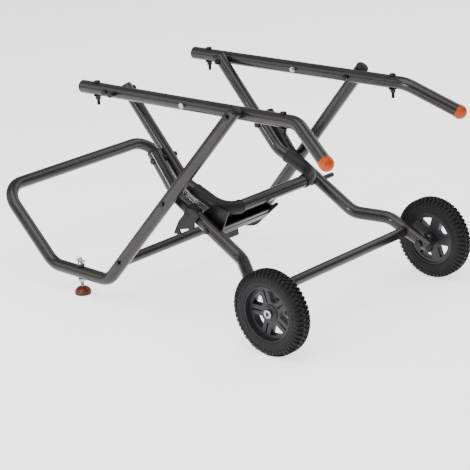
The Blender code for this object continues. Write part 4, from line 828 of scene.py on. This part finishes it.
# %% Wing nut with cast wings
wing_base = grommet_top + HAIR
wing_top = wing_base + 0.009
nut_barrel = [(0, wing_base), (0.0082, wing_base), (0.0085, wing_base + 0.0006),
              (0.0068, wing_top - 0.0008), (0.0062, wing_top), (0, wing_top)]
shape = bmesh.new()
spin(shape, bored(nut_barrel, BORE_D, wing_base, wing_top), foot_floor, UPWARD, 40)
WING = [(0.0062, 0.0022), (0.0078, 0.0030), (0.0106, 0.0058), (0.0132, 0.0070), (0.0146, 0.0090),
        (0.0147, 0.0112), (0.0138, 0.0127), (0.0120, 0.0129), (0.0098, 0.0112), (0.0062, 0.0080)]
WING_MIDDLE = Vector((0.0115, 0.0075))
WING_LAYERS = ((-0.0024, 0.9), (-0.0016, 1), (0.0016, 1), (0.0024, 0.9))
for sign in (-1, 1):
    rings = []
    for thickness, share in WING_LAYERS:
        marks = [WING_MIDDLE + (Vector(mark) - WING_MIDDLE) * share for mark in WING]
        rings.append([foot_floor + Vector((sign * mark.x, thickness, wing_base + mark.y))
                      for mark in marks])
    stack(shape, rings)
bmesh.ops.remove_doubles(shape, verts=shape.verts, dist=MERGE)
seat(sharpen(from_bmesh("zinc_wing_nut", shape)), "wing_nut", *BRIGHT_STEEL, "foot_wing_nut")
print("foot stud at", [round(v, 3) for v in foot_floor])

# %% Fixed foot
FOOT_FLARE = 0.0285
FOOT_NECK = 0.023
HALF_WIDTH = 0.018
EDGE = 0.0012
FOOT_STEP = 0.004
outline = [(FOOT_FLARE - EDGE, 0.0001), (FOOT_FLARE, EDGE), (FOOT_FLARE, FOOT_STEP),
           (FOOT_NECK, foot_z - EDGE), (FOOT_NECK - EDGE, foot_z - 0.0004)]
outline += [(-across, height) for across, height in outline[::-1]]
fixed_floor = Vector((foot_middle.x, LOOP_FRONT_Y, 0))
rings = []
for y, less in ((-HALF_WIDTH, EDGE), (EDGE - HALF_WIDTH, 0), (HALF_WIDTH - EDGE, 0),
                (HALF_WIDTH, EDGE)):
    rings.append([fixed_floor + Vector((across - math.copysign(less, across), y,
                                        height - (less if height > FOOT_STEP else 0)))
                  for across, height in outline])
shape = bmesh.new()
stack(shape, rings)
seat(sharpen(from_bmesh("moulded_fixed_foot", shape)), "foot_loop", "foot_rubber", foot_rubber,
     "fixed_foot")
print("fixed foot", round(foot_z * 1000, 1), "mm high")

# %% [markdown]
# ## Plates with softened edges
# Pressed steel and moulded plates keep one outline through their thickness, and their
# edges are rounded enough to catch the light. A flat curve does this directly: its fill
# makes the faces, its bevel makes the edges, and a negative offset keeps the outline at the
# measured size.


# %% Outlines and plates
def rounded(marks, radii):
    """Return an outline whose corners are rounded, each by its own radius."""
    corners = [Vector((across, up, 0)) for across, up in marks]
    middle = (corners[0] + corners[-1]) / 2
    return [(point.x, point.y) for point in bent_path([middle, *corners, middle], radii)[:-1]]


def inset(marks, distance):
    """Return an outline whose edges all moved inwards by the same distance."""
    moved = []
    inward = 1 if turning(marks) > 0 else -1
    for before, mark, after in zip(marks[-1:] + marks[:-1], marks, marks[1:] + marks[:1]):
        mark = Vector(mark)
        first = (mark - Vector(before)).normalized()
        second = (Vector(after) - mark).normalized()
        normals = Vector((-first.y - second.y, first.x + second.x)) * inward
        moved.append(tuple(mark + normals * distance / (1 + first.dot(second))))
    return moved


def turning(outline):
    """Return twice an outline's signed area, which is positive for counterclockwise."""
    return sum(a[0] * b[1] - b[0] * a[1] for a, b in zip(outline, outline[1:] + outline[:1]))


def arc_marks(radius, turns):
    """Return an outline's points on a circle at the given angles from the first axis."""
    return [(radius * math.cos(turn), radius * math.sin(turn)) for turn in turns]


def plate(name, outline, matrix, start, end, bevel=0.0005, holes=()):
    """Return a plate cut to an outline, with softened edges. Holes run counterclockwise."""
    curve = bpy.data.curves.new(name, "CURVE")
    curve.dimensions = "2D"
    curve.fill_mode = "BOTH"
    curve.extrude = (end - start) / 2 - bevel
    curve.bevel_depth = bevel
    curve.bevel_resolution = 1
    curve.offset = -bevel
    for ring in (outline if turning(outline) < 0 else outline[::-1], *holes):
        spline = curve.splines.new("POLY")
        spline.points.add(len(ring) - 1)
        for control, (across, up) in zip(spline.points, ring):
            control.co = (across, up, 0, 1)
        spline.use_cyclic_u = True
    carrier = new_object(name + "_outline", curve)
    carrier.matrix_world = matrix @ Matrix.Translation((0, 0, (start + end) / 2))
    return sharpen(bake(carrier, name), PLATE_SHARP)


def axes(place, first, second):
    """Return the matrix of a drawing plane: its origin and the directions of its two axes."""
    return Matrix.Translation(place) @ Matrix((first, second, first.cross(second))).transposed().to_4x4()


near_side = axes(leg_pivot, leg_run, leg_rise)
print("a drawing plane's depth points to", [round(v) for v in near_side.col[2][:3]])

# %% [markdown]
# ## The catch
# A foot plate near the middle of the stand is pushed down. It turns an open channel and a
# pressed side plate round a bolt in the near leg, and that frees the fold. The side plate
# has a pressed rib that catches the light. The channel runs across the stand under the
# brace's cross bar, with its open side up. The flange in view ends in a rolled edge, and a
# pressed bead below it keeps it from buckling. The foot plate has grip ribs, because a
# shoe would slip on bare nylon. All three are drawn in the near leg's own plane.

# %% Side plate, channel and foot plate
CATCH_RUN = 0.1155
EAR_THICK = 0.004
LEG_GAP = 0.0005
RIB_D = 0.0016
plate_in = LEG_Y - TUBE_R - LEG_GAP
ear_marks = [(0.066, 0.0054), (CATCH_RUN - 0.014, -0.014), (0.135, -0.014), (0.135, 0.010), (0.129, 0.0612),
             (0.0836, 0.0436)]
ear = plate("pressed_side_plate", rounded(ear_marks, [0.0015, 0.006, 0.004, 0.012, 0.0015, 0.0015]),
            near_side, plate_in - EAR_THICK, plate_in, 0.0006)
rib_marks = [(0.0750, 0.0200), (0.0856, 0.0408), (0.1268, 0.0580), (0.1314, 0.0200)]
rib_corners = [near_side @ Vector((*mark, plate_in - 0.0001)) for mark in rib_marks]
ear_rib = sweep_tube("pressed_rib", bent_path(rib_corners, [0.002, 0.002]), RIB_D, black_oxide, 10)
ear = sharpen(join("pressed_side_plate", [ear, ear_rib]), PLATE_SHARP)
seat(ear, "catch", *BLACK_STEEL, "catch_side_plate")

WALL = 0.0025
CHANNEL_BACK = 0.0135
CHANNEL_TOP = 0.010
CHANNEL_WIDTH = 0.027
CHANNEL_DEPTH = 0.028
ROLLED_EDGE_D = 0.0038
BEAD_D = 0.0034
BEAD_DROP = 0.0115
start = CATCH_RUN - CHANNEL_BACK + WALL
stop = start + CHANNEL_WIDTH
high = CHANNEL_TOP
low = high - CHANNEL_DEPTH
channel_marks = [(start, high), (start, low), (stop, low), (stop, high), (stop - WALL, high),
                 (stop - WALL, low + WALL), (start + WALL, low + WALL), (start + WALL, high)]
channel_radii = [0.0006, 0.0038, 0.0038, 0.0006, 0.0006, 0.0014, 0.0014, 0.0006]
channel_far = 0.0168
channel_near = plate_in - EAR_THICK - HAIR
pieces = [plate("painted_channel", rounded(channel_marks, channel_radii), near_side, channel_far,
                channel_near)]
for across, up, width in ((stop - WALL / 2, high, ROLLED_EDGE_D),
                          (stop - 0.0004, high - BEAD_DROP, BEAD_D)):
    bead = [near_side @ Vector((across, up, depth)) for depth in (channel_far + HAIR, channel_near - HAIR)]
    pieces.append(sweep_tube("rolled_bead", bead, width, gunmetal_coat, 14))
seat(sharpen(join("painted_channel", pieces), PLATE_SHARP), "catch", *PAINTED, "catch_channel")

pedal_shape = ((-0.0781, -0.0525, 0.010), (-0.0534, -0.0966, 0.016), (-0.0023, -0.0653, 0.040),
               (0.0285, 0.0339, 0.004), (0.0203, 0.0359, 0.003), (0.0126, 0.0177, 0.008),
               (-0.0146, 0.0104, 0.003), (-0.0220, -0.0100, 0.008))
pedal_outline = rounded([(CATCH_RUN + run, rise) for run, rise, _ in pedal_shape],
                        [radius for _, _, radius in pedal_shape])
PEDAL_BACK = 0.0105
PEDAL_FACE = 0.0165
RIB_COUNT = 6
near_edge = (Vector((CATCH_RUN - 0.060, -0.050)), Vector((CATCH_RUN - 0.006, -0.012)))
far_edge = (Vector((CATCH_RUN - 0.047, -0.082)), Vector((CATCH_RUN, -0.050)))
pieces = [plate("moulded_plate", pedal_outline, near_side, PEDAL_BACK, PEDAL_FACE, 0.0012)]
for index in range(RIB_COUNT):
    share = (index + 0.7) / (RIB_COUNT + 0.5)
    marks = [first.lerp(last, share) for first, last in (near_edge, far_edge)]
    spots = [near_side @ Vector((*mark, PEDAL_FACE)) for mark in marks]
    pieces.append(sweep_tube(f"rib_{index}", spots, RIB_D, grained_nylon, 10))
seat(join("moulded_foot_plate", pieces), "catch", *BLACK_PLASTIC, "release_pedal")
fastener("steel_catch_bolt", leg_point(CATCH_RUN, 0), -ACROSS, [
    head_on(leg_out, LOW_HEAD), *nut_inside(channel_near, True)], "catch", *BLACK_STEEL, "catch_bolt")
print("foot plate outline:", len(pedal_outline), "points")

# %% [markdown]
# ## Saddle and hooked lever
# The saddle is a moulded clip, so its walls are even and its inside follows the tube. It is
# drawn as its section: a half round over the tube with two straight sides, which leave it
# open below so that it can be pressed on. The lever hangs beside the saddle on its own
# pin and hooks back under the leg. A raised rim stiffens its edge.

# %% Saddle and lever
SADDLE_START = 0.040
SADDLE_END = 0.0655
SADDLE_WALL = 0.0026
DROP = 0.009
ARC_STEPS = 20
saddle_in = TUBE_R + HAIR
saddle_out = saddle_in + SADDLE_WALL
half_round = [math.pi * step / ARC_STEPS for step in range(ARC_STEPS + 1)]
saddle_marks = [(saddle_out, -DROP), *arc_marks(saddle_out, half_round), (-saddle_out, -DROP),
                (-saddle_in, -DROP), *arc_marks(saddle_in, half_round[::-1]), (saddle_in, -DROP)]
section = axes(side(leg_pivot, -LEG_Y), leg_rise.cross(leg_run), leg_rise)
saddle = plate("moulded_saddle", saddle_marks, section, SADDLE_START, SADDLE_END)
seat(saddle, "wheel_legs", *BLACK_PLASTIC, "leg_saddle")

PIN_RUN = 0.053
LEVER_THICK = 0.0045
RIM_D = 0.0014
RIM_INSET = 0.0019
lever_in = LEG_Y + saddle_out + LEG_GAP
lever_out = lever_in + LEVER_THICK
lever_shape = ((-0.007, 0.018, 0.003), (0.009, 0.026, 0.004), (0.032, 0.024, 0.003), (0.027, -0.003, 0.006),
               (0.0355, -0.0195, 0.003), (0.028, -0.0285, 0.003), (0.0184, -0.0289, 0.005),
               (-0.0022, -0.0494, 0.0015), (0.0086, -0.0573, 0.0015), (-0.0123, -0.0713, 0.003),
               (-0.0145, -0.0321, 0.006), (-0.008, 0, 0.004))
lever_marks = [(PIN_RUN + run, rise) for run, rise, _ in lever_shape]
lever_radii = [radius for _, _, radius in lever_shape]
lever_outline = rounded(lever_marks, lever_radii)
lever_plate = plate("moulded_lever", lever_outline, near_side, lever_in, lever_out, 0.0008)
rim_marks = rounded(inset(lever_marks, RIM_INSET), [radius / 2 for radius in lever_radii])
rim_path = [near_side @ Vector((*mark, lever_out - 0.0001)) for mark in rim_marks]
lever_rim = sweep_tube("moulded_rim", rim_path, RIM_D, grained_nylon, 10, True)
pin = [(0, lever_in - 0.0008), (0.0040, lever_in - 0.0008), (0.0040, lever_out), (0.0062, lever_out),
       (0.0062, lever_out + 0.0006), (0.0058, lever_out + 0.0010), (0.0030, lever_out + 0.0010),
       (0.0026, lever_out + 0.0004), (0, lever_out + 0.0004)]
shape = bmesh.new()
spin(shape, pin, leg_point(PIN_RUN, 0), -ACROSS, 32)
lever = join("moulded_hooked_lever", [lever_plate, lever_rim, from_bmesh("moulded_pin", shape)])
seat(sharpen(lever, PLATE_SHARP), "lever", *BLACK_PLASTIC, "release_lever")
print("lever hangs", round((lever_in - LEG_Y) * 1000, 1), "mm outside the leg's middle")

# %% [markdown]
# ## Release spring and stop peg
# The wire is wound as one helix between two straight tails. One tail lies on the leg where
# it bends, the other meets the saddle, so the coil stays where its ends hold it. The path
# is sampled at 24 points a turn and swept with the same tube tree as the legs. The stop
# peg on the far leg is turned: a collar, a plain peg with a chamfered tip and a nut inside.

# %% Release spring and stop peg
COIL_R = 0.0051
WIRE_D = 0.0018
COIL_TURNS = 8
SAMPLES = 24
COIL_RISE = 0.0164
COIL_SIDE = 0.0155
TAIL = 0.0022
lean = math.atan2(COIL_SIDE, COIL_RISE)
tail_rise = COIL_RISE - COIL_R * math.cos(lean)
tail_side = COIL_SIDE - COIL_R * math.sin(lean)
bend_reach = LEG_BEND_R * math.tan((leg_pivot - open_pivot).angle(leg_run) / 2)
touch_rise = math.sqrt((TUBE_R + HAIR + WIRE_D / 2) ** 2 - tail_side ** 2)
coil_start = bend_reach - math.sqrt(2 * LEG_BEND_R * (tail_rise - touch_rise)) + TAIL
coil_end = SADDLE_START - HAIR - TAIL
wire = [leg_point(coil_start - TAIL, tail_rise, tail_side - LEG_Y)]
for index in range(COIL_TURNS * SAMPLES + 1):
    turn = lean + 2 * math.pi * index / SAMPLES
    run = coil_start + (coil_end - coil_start) * index / (COIL_TURNS * SAMPLES)
    wire.append(leg_point(run, COIL_RISE - COIL_R * math.cos(turn),
                          COIL_SIDE - COIL_R * math.sin(turn) - LEG_Y))
wire.append(leg_point(coil_end + TAIL, tail_rise, tail_side - LEG_Y))
spring = sweep_tube("spring_wire_coil", wire, WIRE_D, zinc_plate, 10)
seat(spring, "wheel_legs", *BRIGHT_STEEL, "release_spring")

PEG_RUN = 0.095
PEG_RISE = -0.006
PEG_LENGTH = 0.048
peg_end = leg_out + PEG_LENGTH
peg = [(0, leg_out), (0.0090, leg_out), (0.0095, leg_out + 0.0005), (0.0095, leg_out + 0.0052),
       (0.0087, leg_out + 0.006), (0.006, leg_out + 0.006), (0.006, peg_end - 0.0012),
       (0.0048, peg_end), (0, peg_end)]
fastener("steel_stop_peg", leg_point(PEG_RUN, PEG_RISE), ACROSS, [peg, *nut_inside(leg_in)[:1]],
         "wheel_legs", *BLACK_STEEL, "stop_peg")
print("spring of", COIL_TURNS, "turns,", round((coil_end - coil_start) * 1000, 1), "mm long")

# %% [markdown]
# ## Corner sleeves
# The brace's corners are wrapped in plastic sleeves. Each is an even sleeve with a thicker
# lip at both ends, so it is one tube along the same bend with two short wider ones on it.

# %% Sleeves on the brace's corners
SLEEVE_D = 0.0342
LIP_D = 0.035
LIP = 0.004
SLEEVE_RUN = 0.100
SLEEVE_CROSS = 0.052
for end, sign in SIDES.items():
    corner = side(brace_corner, sign * BRACE_Y)
    along = (side(brace_bend, sign * BRACE_Y) - corner).normalized()
    across = ACROSS * -sign
    path = bent_path([corner + along * SLEEVE_RUN, corner, corner + across * SLEEVE_CROSS],
                     [BRACE_CORNER_R])
    pieces = [sweep_tube("sleeve", path, SLEEVE_D, grained_nylon)]
    for tip, inward in ((path[0], -along), (path[-1], -across)):
        pieces.append(sweep_tube("lip", [tip, tip + inward * LIP], LIP_D, grained_nylon))
    sleeve = sharpen(join(f"moulded_corner_sleeve_{end}", pieces), 40)
    seat(sleeve, "brace", *BLACK_PLASTIC, f"corner_sleeve_{end}")
print("sleeve", SLEEVE_D * 1000, "mm with", LIP_D * 1000, "mm lips")

# %% [markdown]
# ## Tyres
# The carcass is turned: a tread band, round shoulders, a sidewall and a raised bead line
# above the rim. Everything that repeats round the tyre is laid by one Geometry Nodes tree:
# it turns a lug about the axle as often as its Count says, starting at its Phase. The
# shoulder lugs of the two sides are staggered, as on a real all-terrain tyre. Each block
# is given as two rings, a foot that is sunk in the carcass and a smaller crown.

# %% The ring tree
ring_tree, given, out = new_tree("lugs_round_an_axle", [
    ("Count", "Int"), ("Phase", "Float"), ("Material", "Material")])
spots = add_node(ring_tree, "GeometryNodePoints", links={"Count": given.outputs["Count"]})
step = add_node(ring_tree, "ShaderNodeMath", {0: 2 * math.pi}, {1: given.outputs["Count"]},
                operation="DIVIDE")
number = add_node(ring_tree, "GeometryNodeInputIndex")
shifted = add_node(ring_tree, "ShaderNodeMath", operation="ADD",
                   links={0: number.outputs["Index"], 1: given.outputs["Phase"]})
angle = add_node(ring_tree, "ShaderNodeMath", operation="MULTIPLY",
                 links={0: shifted.outputs[0], 1: step.outputs[0]})
turn = add_node(ring_tree, "ShaderNodeCombineXYZ", links={"Z": angle.outputs[0]})
copies = add_node(ring_tree, "GeometryNodeInstanceOnPoints", links={
    "Points": spots.outputs["Geometry"], "Instance": given.outputs["Geometry"],
    "Rotation": turn.outputs[0]})
finish_tree(ring_tree, copies.outputs["Instances"], given, out)


def wheel_point(radius, way_round, z):
    """Return a point near the X axis of a wheel, given its radius, its way round and its Z."""
    angle = way_round / radius
    return Vector((radius * math.cos(angle), radius * math.sin(angle), z))


print("ring tree nodes:", [node.bl_label for node in ring_tree.nodes])

# %% Carcass, lugs and ribs
LUGS = 54
CARCASS_SIDES = 144
BLOCK_MIDDLE = (0.0051, 0.0025)
BLOCK_MARKS = ((0.0090, 0.0004), (0.0090, 0.0082), (0.0012, 0.0056), (0.0012, -0.0022))
carcass = [(0.066, -0.0190), (0.0672, -0.0196), (0.0690, -0.0201), (0.0735, -0.0206), (0.0755, -0.0212),
           (0.0766, -0.0213), (0.0776, -0.0206), (0.0840, -0.0202), (0.0900, -0.0190), (0.0945, -0.0165),
           (0.0972, -0.0125), (0.0986, -0.0060)]
carcass += [(radius, -z) for radius, z in carcass[::-1]]


def strip(line, half):
    """Return the marks round a strip that follows a line of radius and Z, and its half width."""
    return [(radius, -half, z) for radius, z in line] + [(radius, half, z) for radius, z in line[::-1]]


def tread_ring(radius, share_z, share_round):
    """Return the marks of a slanted centre block at a radius, drawn in towards its middle."""
    middle_z, middle_round = BLOCK_MIDDLE
    return [(radius, middle_round + (way - middle_round) * share_round, middle_z + (z - middle_z) * share_z)
            for z, way in BLOCK_MARKS]


BLOCKS = {
    "shoulder_lug": (
        strip([(0.0878, 0.0186), (0.0925, 0.0172), (0.0958, 0.0128), (0.0966, 0.0100)], 0.0042),
        strip([(0.0878, 0.0209), (0.0946, 0.0196), (0.1004, 0.0150), (0.1016, 0.0104)], 0.0034)),
    "tread_block": (tread_ring(0.0976, 1, 1), tread_ring(0.1014, 7 / 8, 5 / 6)),
    "side_rib": (strip([(0.0790, 0.0196), (0.0876, 0.0188)], 0.0012),
                 strip([(0.0790, 0.0214), (0.0876, 0.0206)], 0.0007))}


def blocks_round(name, turned, phase):
    """Return one kind of block repeated round the tyre, on the side that the sign names."""
    shape = bmesh.new()
    stack(shape, [[wheel_point(radius, way, turned * z) for radius, way, z in ring]
                  for ring in BLOCKS[name]])
    block = run_tree(from_bmesh(name, shape), ring_tree, Count=LUGS, Phase=phase, Material=tyre_rubber)
    return bake(block, name + "_ring")


def wheel_axes(sign):
    """Return a wheel's own frame: its Z is the axle, out of the stand."""
    return axes(side(axle, sign * WHEEL_Y), UPWARD.cross(ACROSS * sign), UPWARD)


def lathe(name, turned_solids):
    """Return one mesh object of closed sections turned round the wheel's own Z."""
    shape = bmesh.new()
    for section, count in turned_solids:
        spin(shape, section, ORIGIN, UPWARD, count)
    bmesh.ops.remove_doubles(shape, verts=shape.verts, dist=MERGE)
    bmesh.ops.recalc_face_normals(shape, faces=shape.faces)
    return from_bmesh(name, shape)


for end, sign in SIDES.items():
    pieces = [lathe("carcass", [(carcass + carcass[:1], CARCASS_SIDES)])]
    for turned, phase in ((1, 0), (-1, 0.5)):
        for name, later in (("shoulder_lug", 0), ("tread_block", 0.25), ("side_rib", 0.5)):
            pieces.append(blocks_round(name, turned, phase + later))
    tyre = join(f"moulded_tyre_{end}", pieces)
    tyre.data.transform(wheel_axes(sign))
    seat(sharpen(tyre, TURNED_SHARP), f"wheel_{end}", "tyre_rubber", tyre_rubber, f"tyre_{end}")
print("tyre with", 2 * LUGS, "shoulder lugs,", len(tyre.data.polygons), "faces")

# %% [markdown]
# ## Hubs
# The moulded hub is a barrel, a web with five spokes and a boss that runs inwards to the
# leg. Every spoke has a dark slot down its front, which a mould leaves to keep the wall
# even. So the web is a plate with five windows, and a second plate over it has the slots
# too. Both carry their openings as holes in a flat curve. The round parts are turned.

# %% Rim, spokes and boss
SPOKES = 5
SPOKE_HALF = 0.0124
WINDOW_IN = 0.0282
WINDOW_OUT = 0.0530
PLATE_R = 0.0630
PLATE_EDGE = 0.0006
WEB = (-0.0140, -0.0004)
FRONT = (-0.0006, 0.0050)
RIM_SIDES = 120
BOSS_SIDES = 72
BORE_SIDES = 32
BORE_R = 0.0061
HUB_FRONT = 0.0095
HUB_BACK = -0.0274
SLOT = ((0.0255, -0.0013), (0.0545, -0.0019), (0.0545, 0.0019), (0.0255, 0.0013))
barrel = [(0.0622, -0.0175), (0.0640, -0.0180), (0.0657, -0.0176), (0.0657, 0.0180), (0.0645, 0.0190),
          (0.0628, 0.0186), (0.0622, 0.0172), (0.0622, -0.0175)]
boss = [(BORE_R, HUB_BACK), (0.0158, HUB_BACK), (0.0170, HUB_BACK + 0.0010), (0.0170, 0.0010),
        (0.0205, 0.0030), (0.0210, 0.0060), (0.0203, 0.0072), (0.0172, 0.0076),
        (0.0164, HUB_FRONT - 0.0006), (0.0156, HUB_FRONT), (BORE_R, HUB_FRONT), (BORE_R, HUB_BACK)]


def opening(centre_turn):
    """Return one rounded window between two spokes."""
    arcs = []
    for radius, steps in ((WINDOW_IN, 3), (WINDOW_OUT, 8)):
        edge = math.pi / SPOKES - math.asin(SPOKE_HALF / radius)
        turns = [centre_turn + edge * (2 * step / steps - 1) for step in range(steps + 1)]
        arcs.append(arc_marks(radius, turns))
    return arcs[0] + arcs[1][::-1]


def circle_marks(radius, count):
    """Return an outline's points round a whole circle, counterclockwise."""
    return arc_marks(radius, [2 * math.pi * step / count for step in range(count)])


def hub_plate(name, start, end, windows):
    """Return a round plate of the hub with its bore and windows."""
    rim = circle_marks(PLATE_R, RIM_SIDES)
    return plate(name, rim[:1] + rim[:0:-1], Matrix(), start, end, PLATE_EDGE,
                 [circle_marks(BORE_R, BORE_SIDES), *windows])


windows = [opening(math.pi + 2 * math.pi * (index + 0.5) / SPOKES) for index in range(SPOKES)]
for index in range(SPOKES):
    spoke_turn = math.pi + 2 * math.pi * index / SPOKES
    along = Vector((math.cos(spoke_turn), math.sin(spoke_turn)))
    across = Vector((-along.y, along.x))
    windows.append([tuple(along * reach + across * offset) for reach, offset in SLOT])
windows = [window if turning(window) > 0 else window[::-1] for window in windows]
for end, sign in SIDES.items():
    pieces = [hub_plate("web", *WEB, windows[:SPOKES]), hub_plate("front", *FRONT, windows),
              lathe("barrel_and_boss", [(barrel, RIM_SIDES), (boss, BOSS_SIDES)])]
    hub = join(f"moulded_hub_{end}", pieces)
    hub.data.transform(wheel_axes(sign))
    seat(sharpen(hub, PLATE_SHARP), f"wheel_{end}", "black_plastic", hub_nylon, f"hub_{end}")
print("hub:", len(hub.data.polygons), "faces")

# %% [markdown]
# ## Axle bolts
# A silver cap screw holds each wheel, with a washer behind the hub and a black nut inside
# the leg. The socket is a real hexagonal hole, because the screw is the brightest small
# thing in the photograph and a painted hexagon would show no depth. Heights are distances
# from the stand's middle plane.

# %% Axle bolts with their sockets
SOCKET_D = 0.0105
HEAD_SEAT = 0.3218
HEAD_TOP = 0.3278
WASHER_SEAT = 0.2823
AXLE_WASHER_D = 0.026
AXLE_NUT_SEAT = 0.24995
AXLE_HEX_D = 0.020
AXLE_WASHER = 0.002


def socket_rim(angle):
    """Return the distance from the bolt's middle to its socket's side at an angle."""
    return SOCKET_D / 2 / math.cos(angle % (math.pi / 3) - math.pi / 6)


cap_screw = [(0, HEAD_SEAT), (0.0098, HEAD_SEAT), (0.0105, HEAD_SEAT + 0.0006), (0.0105, HEAD_TOP - 0.0016),
             (0.0099, HEAD_TOP - 0.0004), (0.0089, HEAD_TOP), (0.0068, HEAD_TOP),
             lambda angle: (socket_rim(angle), HEAD_TOP - 0.0008),
             lambda angle: (socket_rim(angle), HEAD_SEAT + 0.0008), (0, HEAD_SEAT + 0.0004)]
axle_washer = round_rings(WASHER_SEAT, WASHER_SEAT + AXLE_WASHER, AXLE_WASHER_D, 0.0003)
axle_nut = hexagon_rings(AXLE_NUT_SEAT - NUT, AXLE_NUT_SEAT, AXLE_HEX_D)
for end, sign in SIDES.items():
    outward = ACROSS * sign
    fastener(f"zinc_axle_bolt_{end}", axle, outward, [cap_screw, axle_washer], "wheel_legs", *BRIGHT_STEEL,
             f"axle_bolt_{end}", 72)
    fastener(f"steel_axle_nut_{end}", axle, outward, [axle_nut], "wheel_legs", *BLACK_STEEL, None)
print("socket", SOCKET_D * 1000, "mm across its flats")

# %% [markdown]
# ## Floor, light and camera
# The photograph is a product shot on white, with hardly any shadow. The paper glows a
# little, like a light table, which lifts it to white and lights the tubes from below. A
# big soft box hangs above, one stands on the left and one behind. A small one stands at
# the stand's near side, low down: it draws the narrow bright line along the leaning
# tubes. No lamp is seen by the camera. The camera's place was fitted to the stand's pivots
# and wheels, and its long lens keeps the tubes nearly parallel.

# %% Floor
paper = surface("white_studio_paper", "#f6f6f7", "#fafafb", 0.002, 0.9, 0.0, 0.5,
                emission_color=(1, 1, 1, 1), emission_strength=1.5)
FLOOR_SIZE = 14
FLOOR_GAP = 0.0005
bpy.ops.mesh.primitive_plane_add(size=FLOOR_SIZE)
floor = bpy.context.object
floor.name = "studio_floor"
floor.data.materials.append(paper)
floor.location.z = cad_box[0][2] - FLOOR_GAP
print("floor", FLOOR_SIZE, "m wide")

# %% Lights
LIGHTS_AIM = Vector((0, 0, 0.2))
world = bpy.data.worlds.new("studio")
scene.world = world
world.use_nodes = True
background = world.node_tree.nodes["Background"]
background.inputs["Color"].default_value = linear("#f6f7fa")
background.inputs["Strength"].default_value = 0.5
for name, place, size, energy in (
        ("key_light", (0.5, -1.0, 3.4), 3.4, 120),
        ("fill_light", (-2.6, -2.4, 2.0), 2.2, 26),
        ("back_light", (0.6, 3.0, 2.4), 2.6, 40),
        ("side_box", (0.0, -3.2, 0.95), 0.5, 48)):
    light = bpy.data.lights.new(name, "AREA")
    light.size = size
    light.energy = energy
    lamp = new_object(name, light)
    lamp.location = place
    lamp.visible_camera = False
    aim = LIGHTS_AIM - lamp.location
    lamp.rotation_euler = aim.to_track_quat("-Z", "Y").to_euler()

# %% Camera
CAMERA_AZIMUTH = math.radians(42.25)
CAMERA_HEIGHT_ANGLE = math.radians(18.46)
CAMERA_ROLL = math.radians(-3.19)
CAMERA_DISTANCE = 4.6066
SENSOR_WIDTH = 36
PIXELS_ACROSS = 470
FOCAL_PIXELS = 1852
target = at(-0.3812, 0, 0.1266)
back = Vector((
    math.sin(CAMERA_AZIMUTH) * math.cos(CAMERA_HEIGHT_ANGLE),
    -math.cos(CAMERA_AZIMUTH) * math.cos(CAMERA_HEIGHT_ANGLE),
    math.sin(CAMERA_HEIGHT_ANGLE)))
level = UPWARD.cross(back).normalized()
roll = Quaternion(back, CAMERA_ROLL)
right = roll @ level
up = roll @ back.cross(level)
lens = bpy.data.cameras.new("photo_camera")
lens.sensor_width = SENSOR_WIDTH
lens.lens = FOCAL_PIXELS / PIXELS_ACROSS * SENSOR_WIDTH
camera = new_object("photo_camera", lens)
facing = Matrix((right, up, back)).transposed().to_4x4()
camera.matrix_world = Matrix.Translation(target + back * CAMERA_DISTANCE) @ facing
scene.camera = camera
print("lens", round(lens.lens, 1), "mm at", [round(v, 3) for v in camera.location])
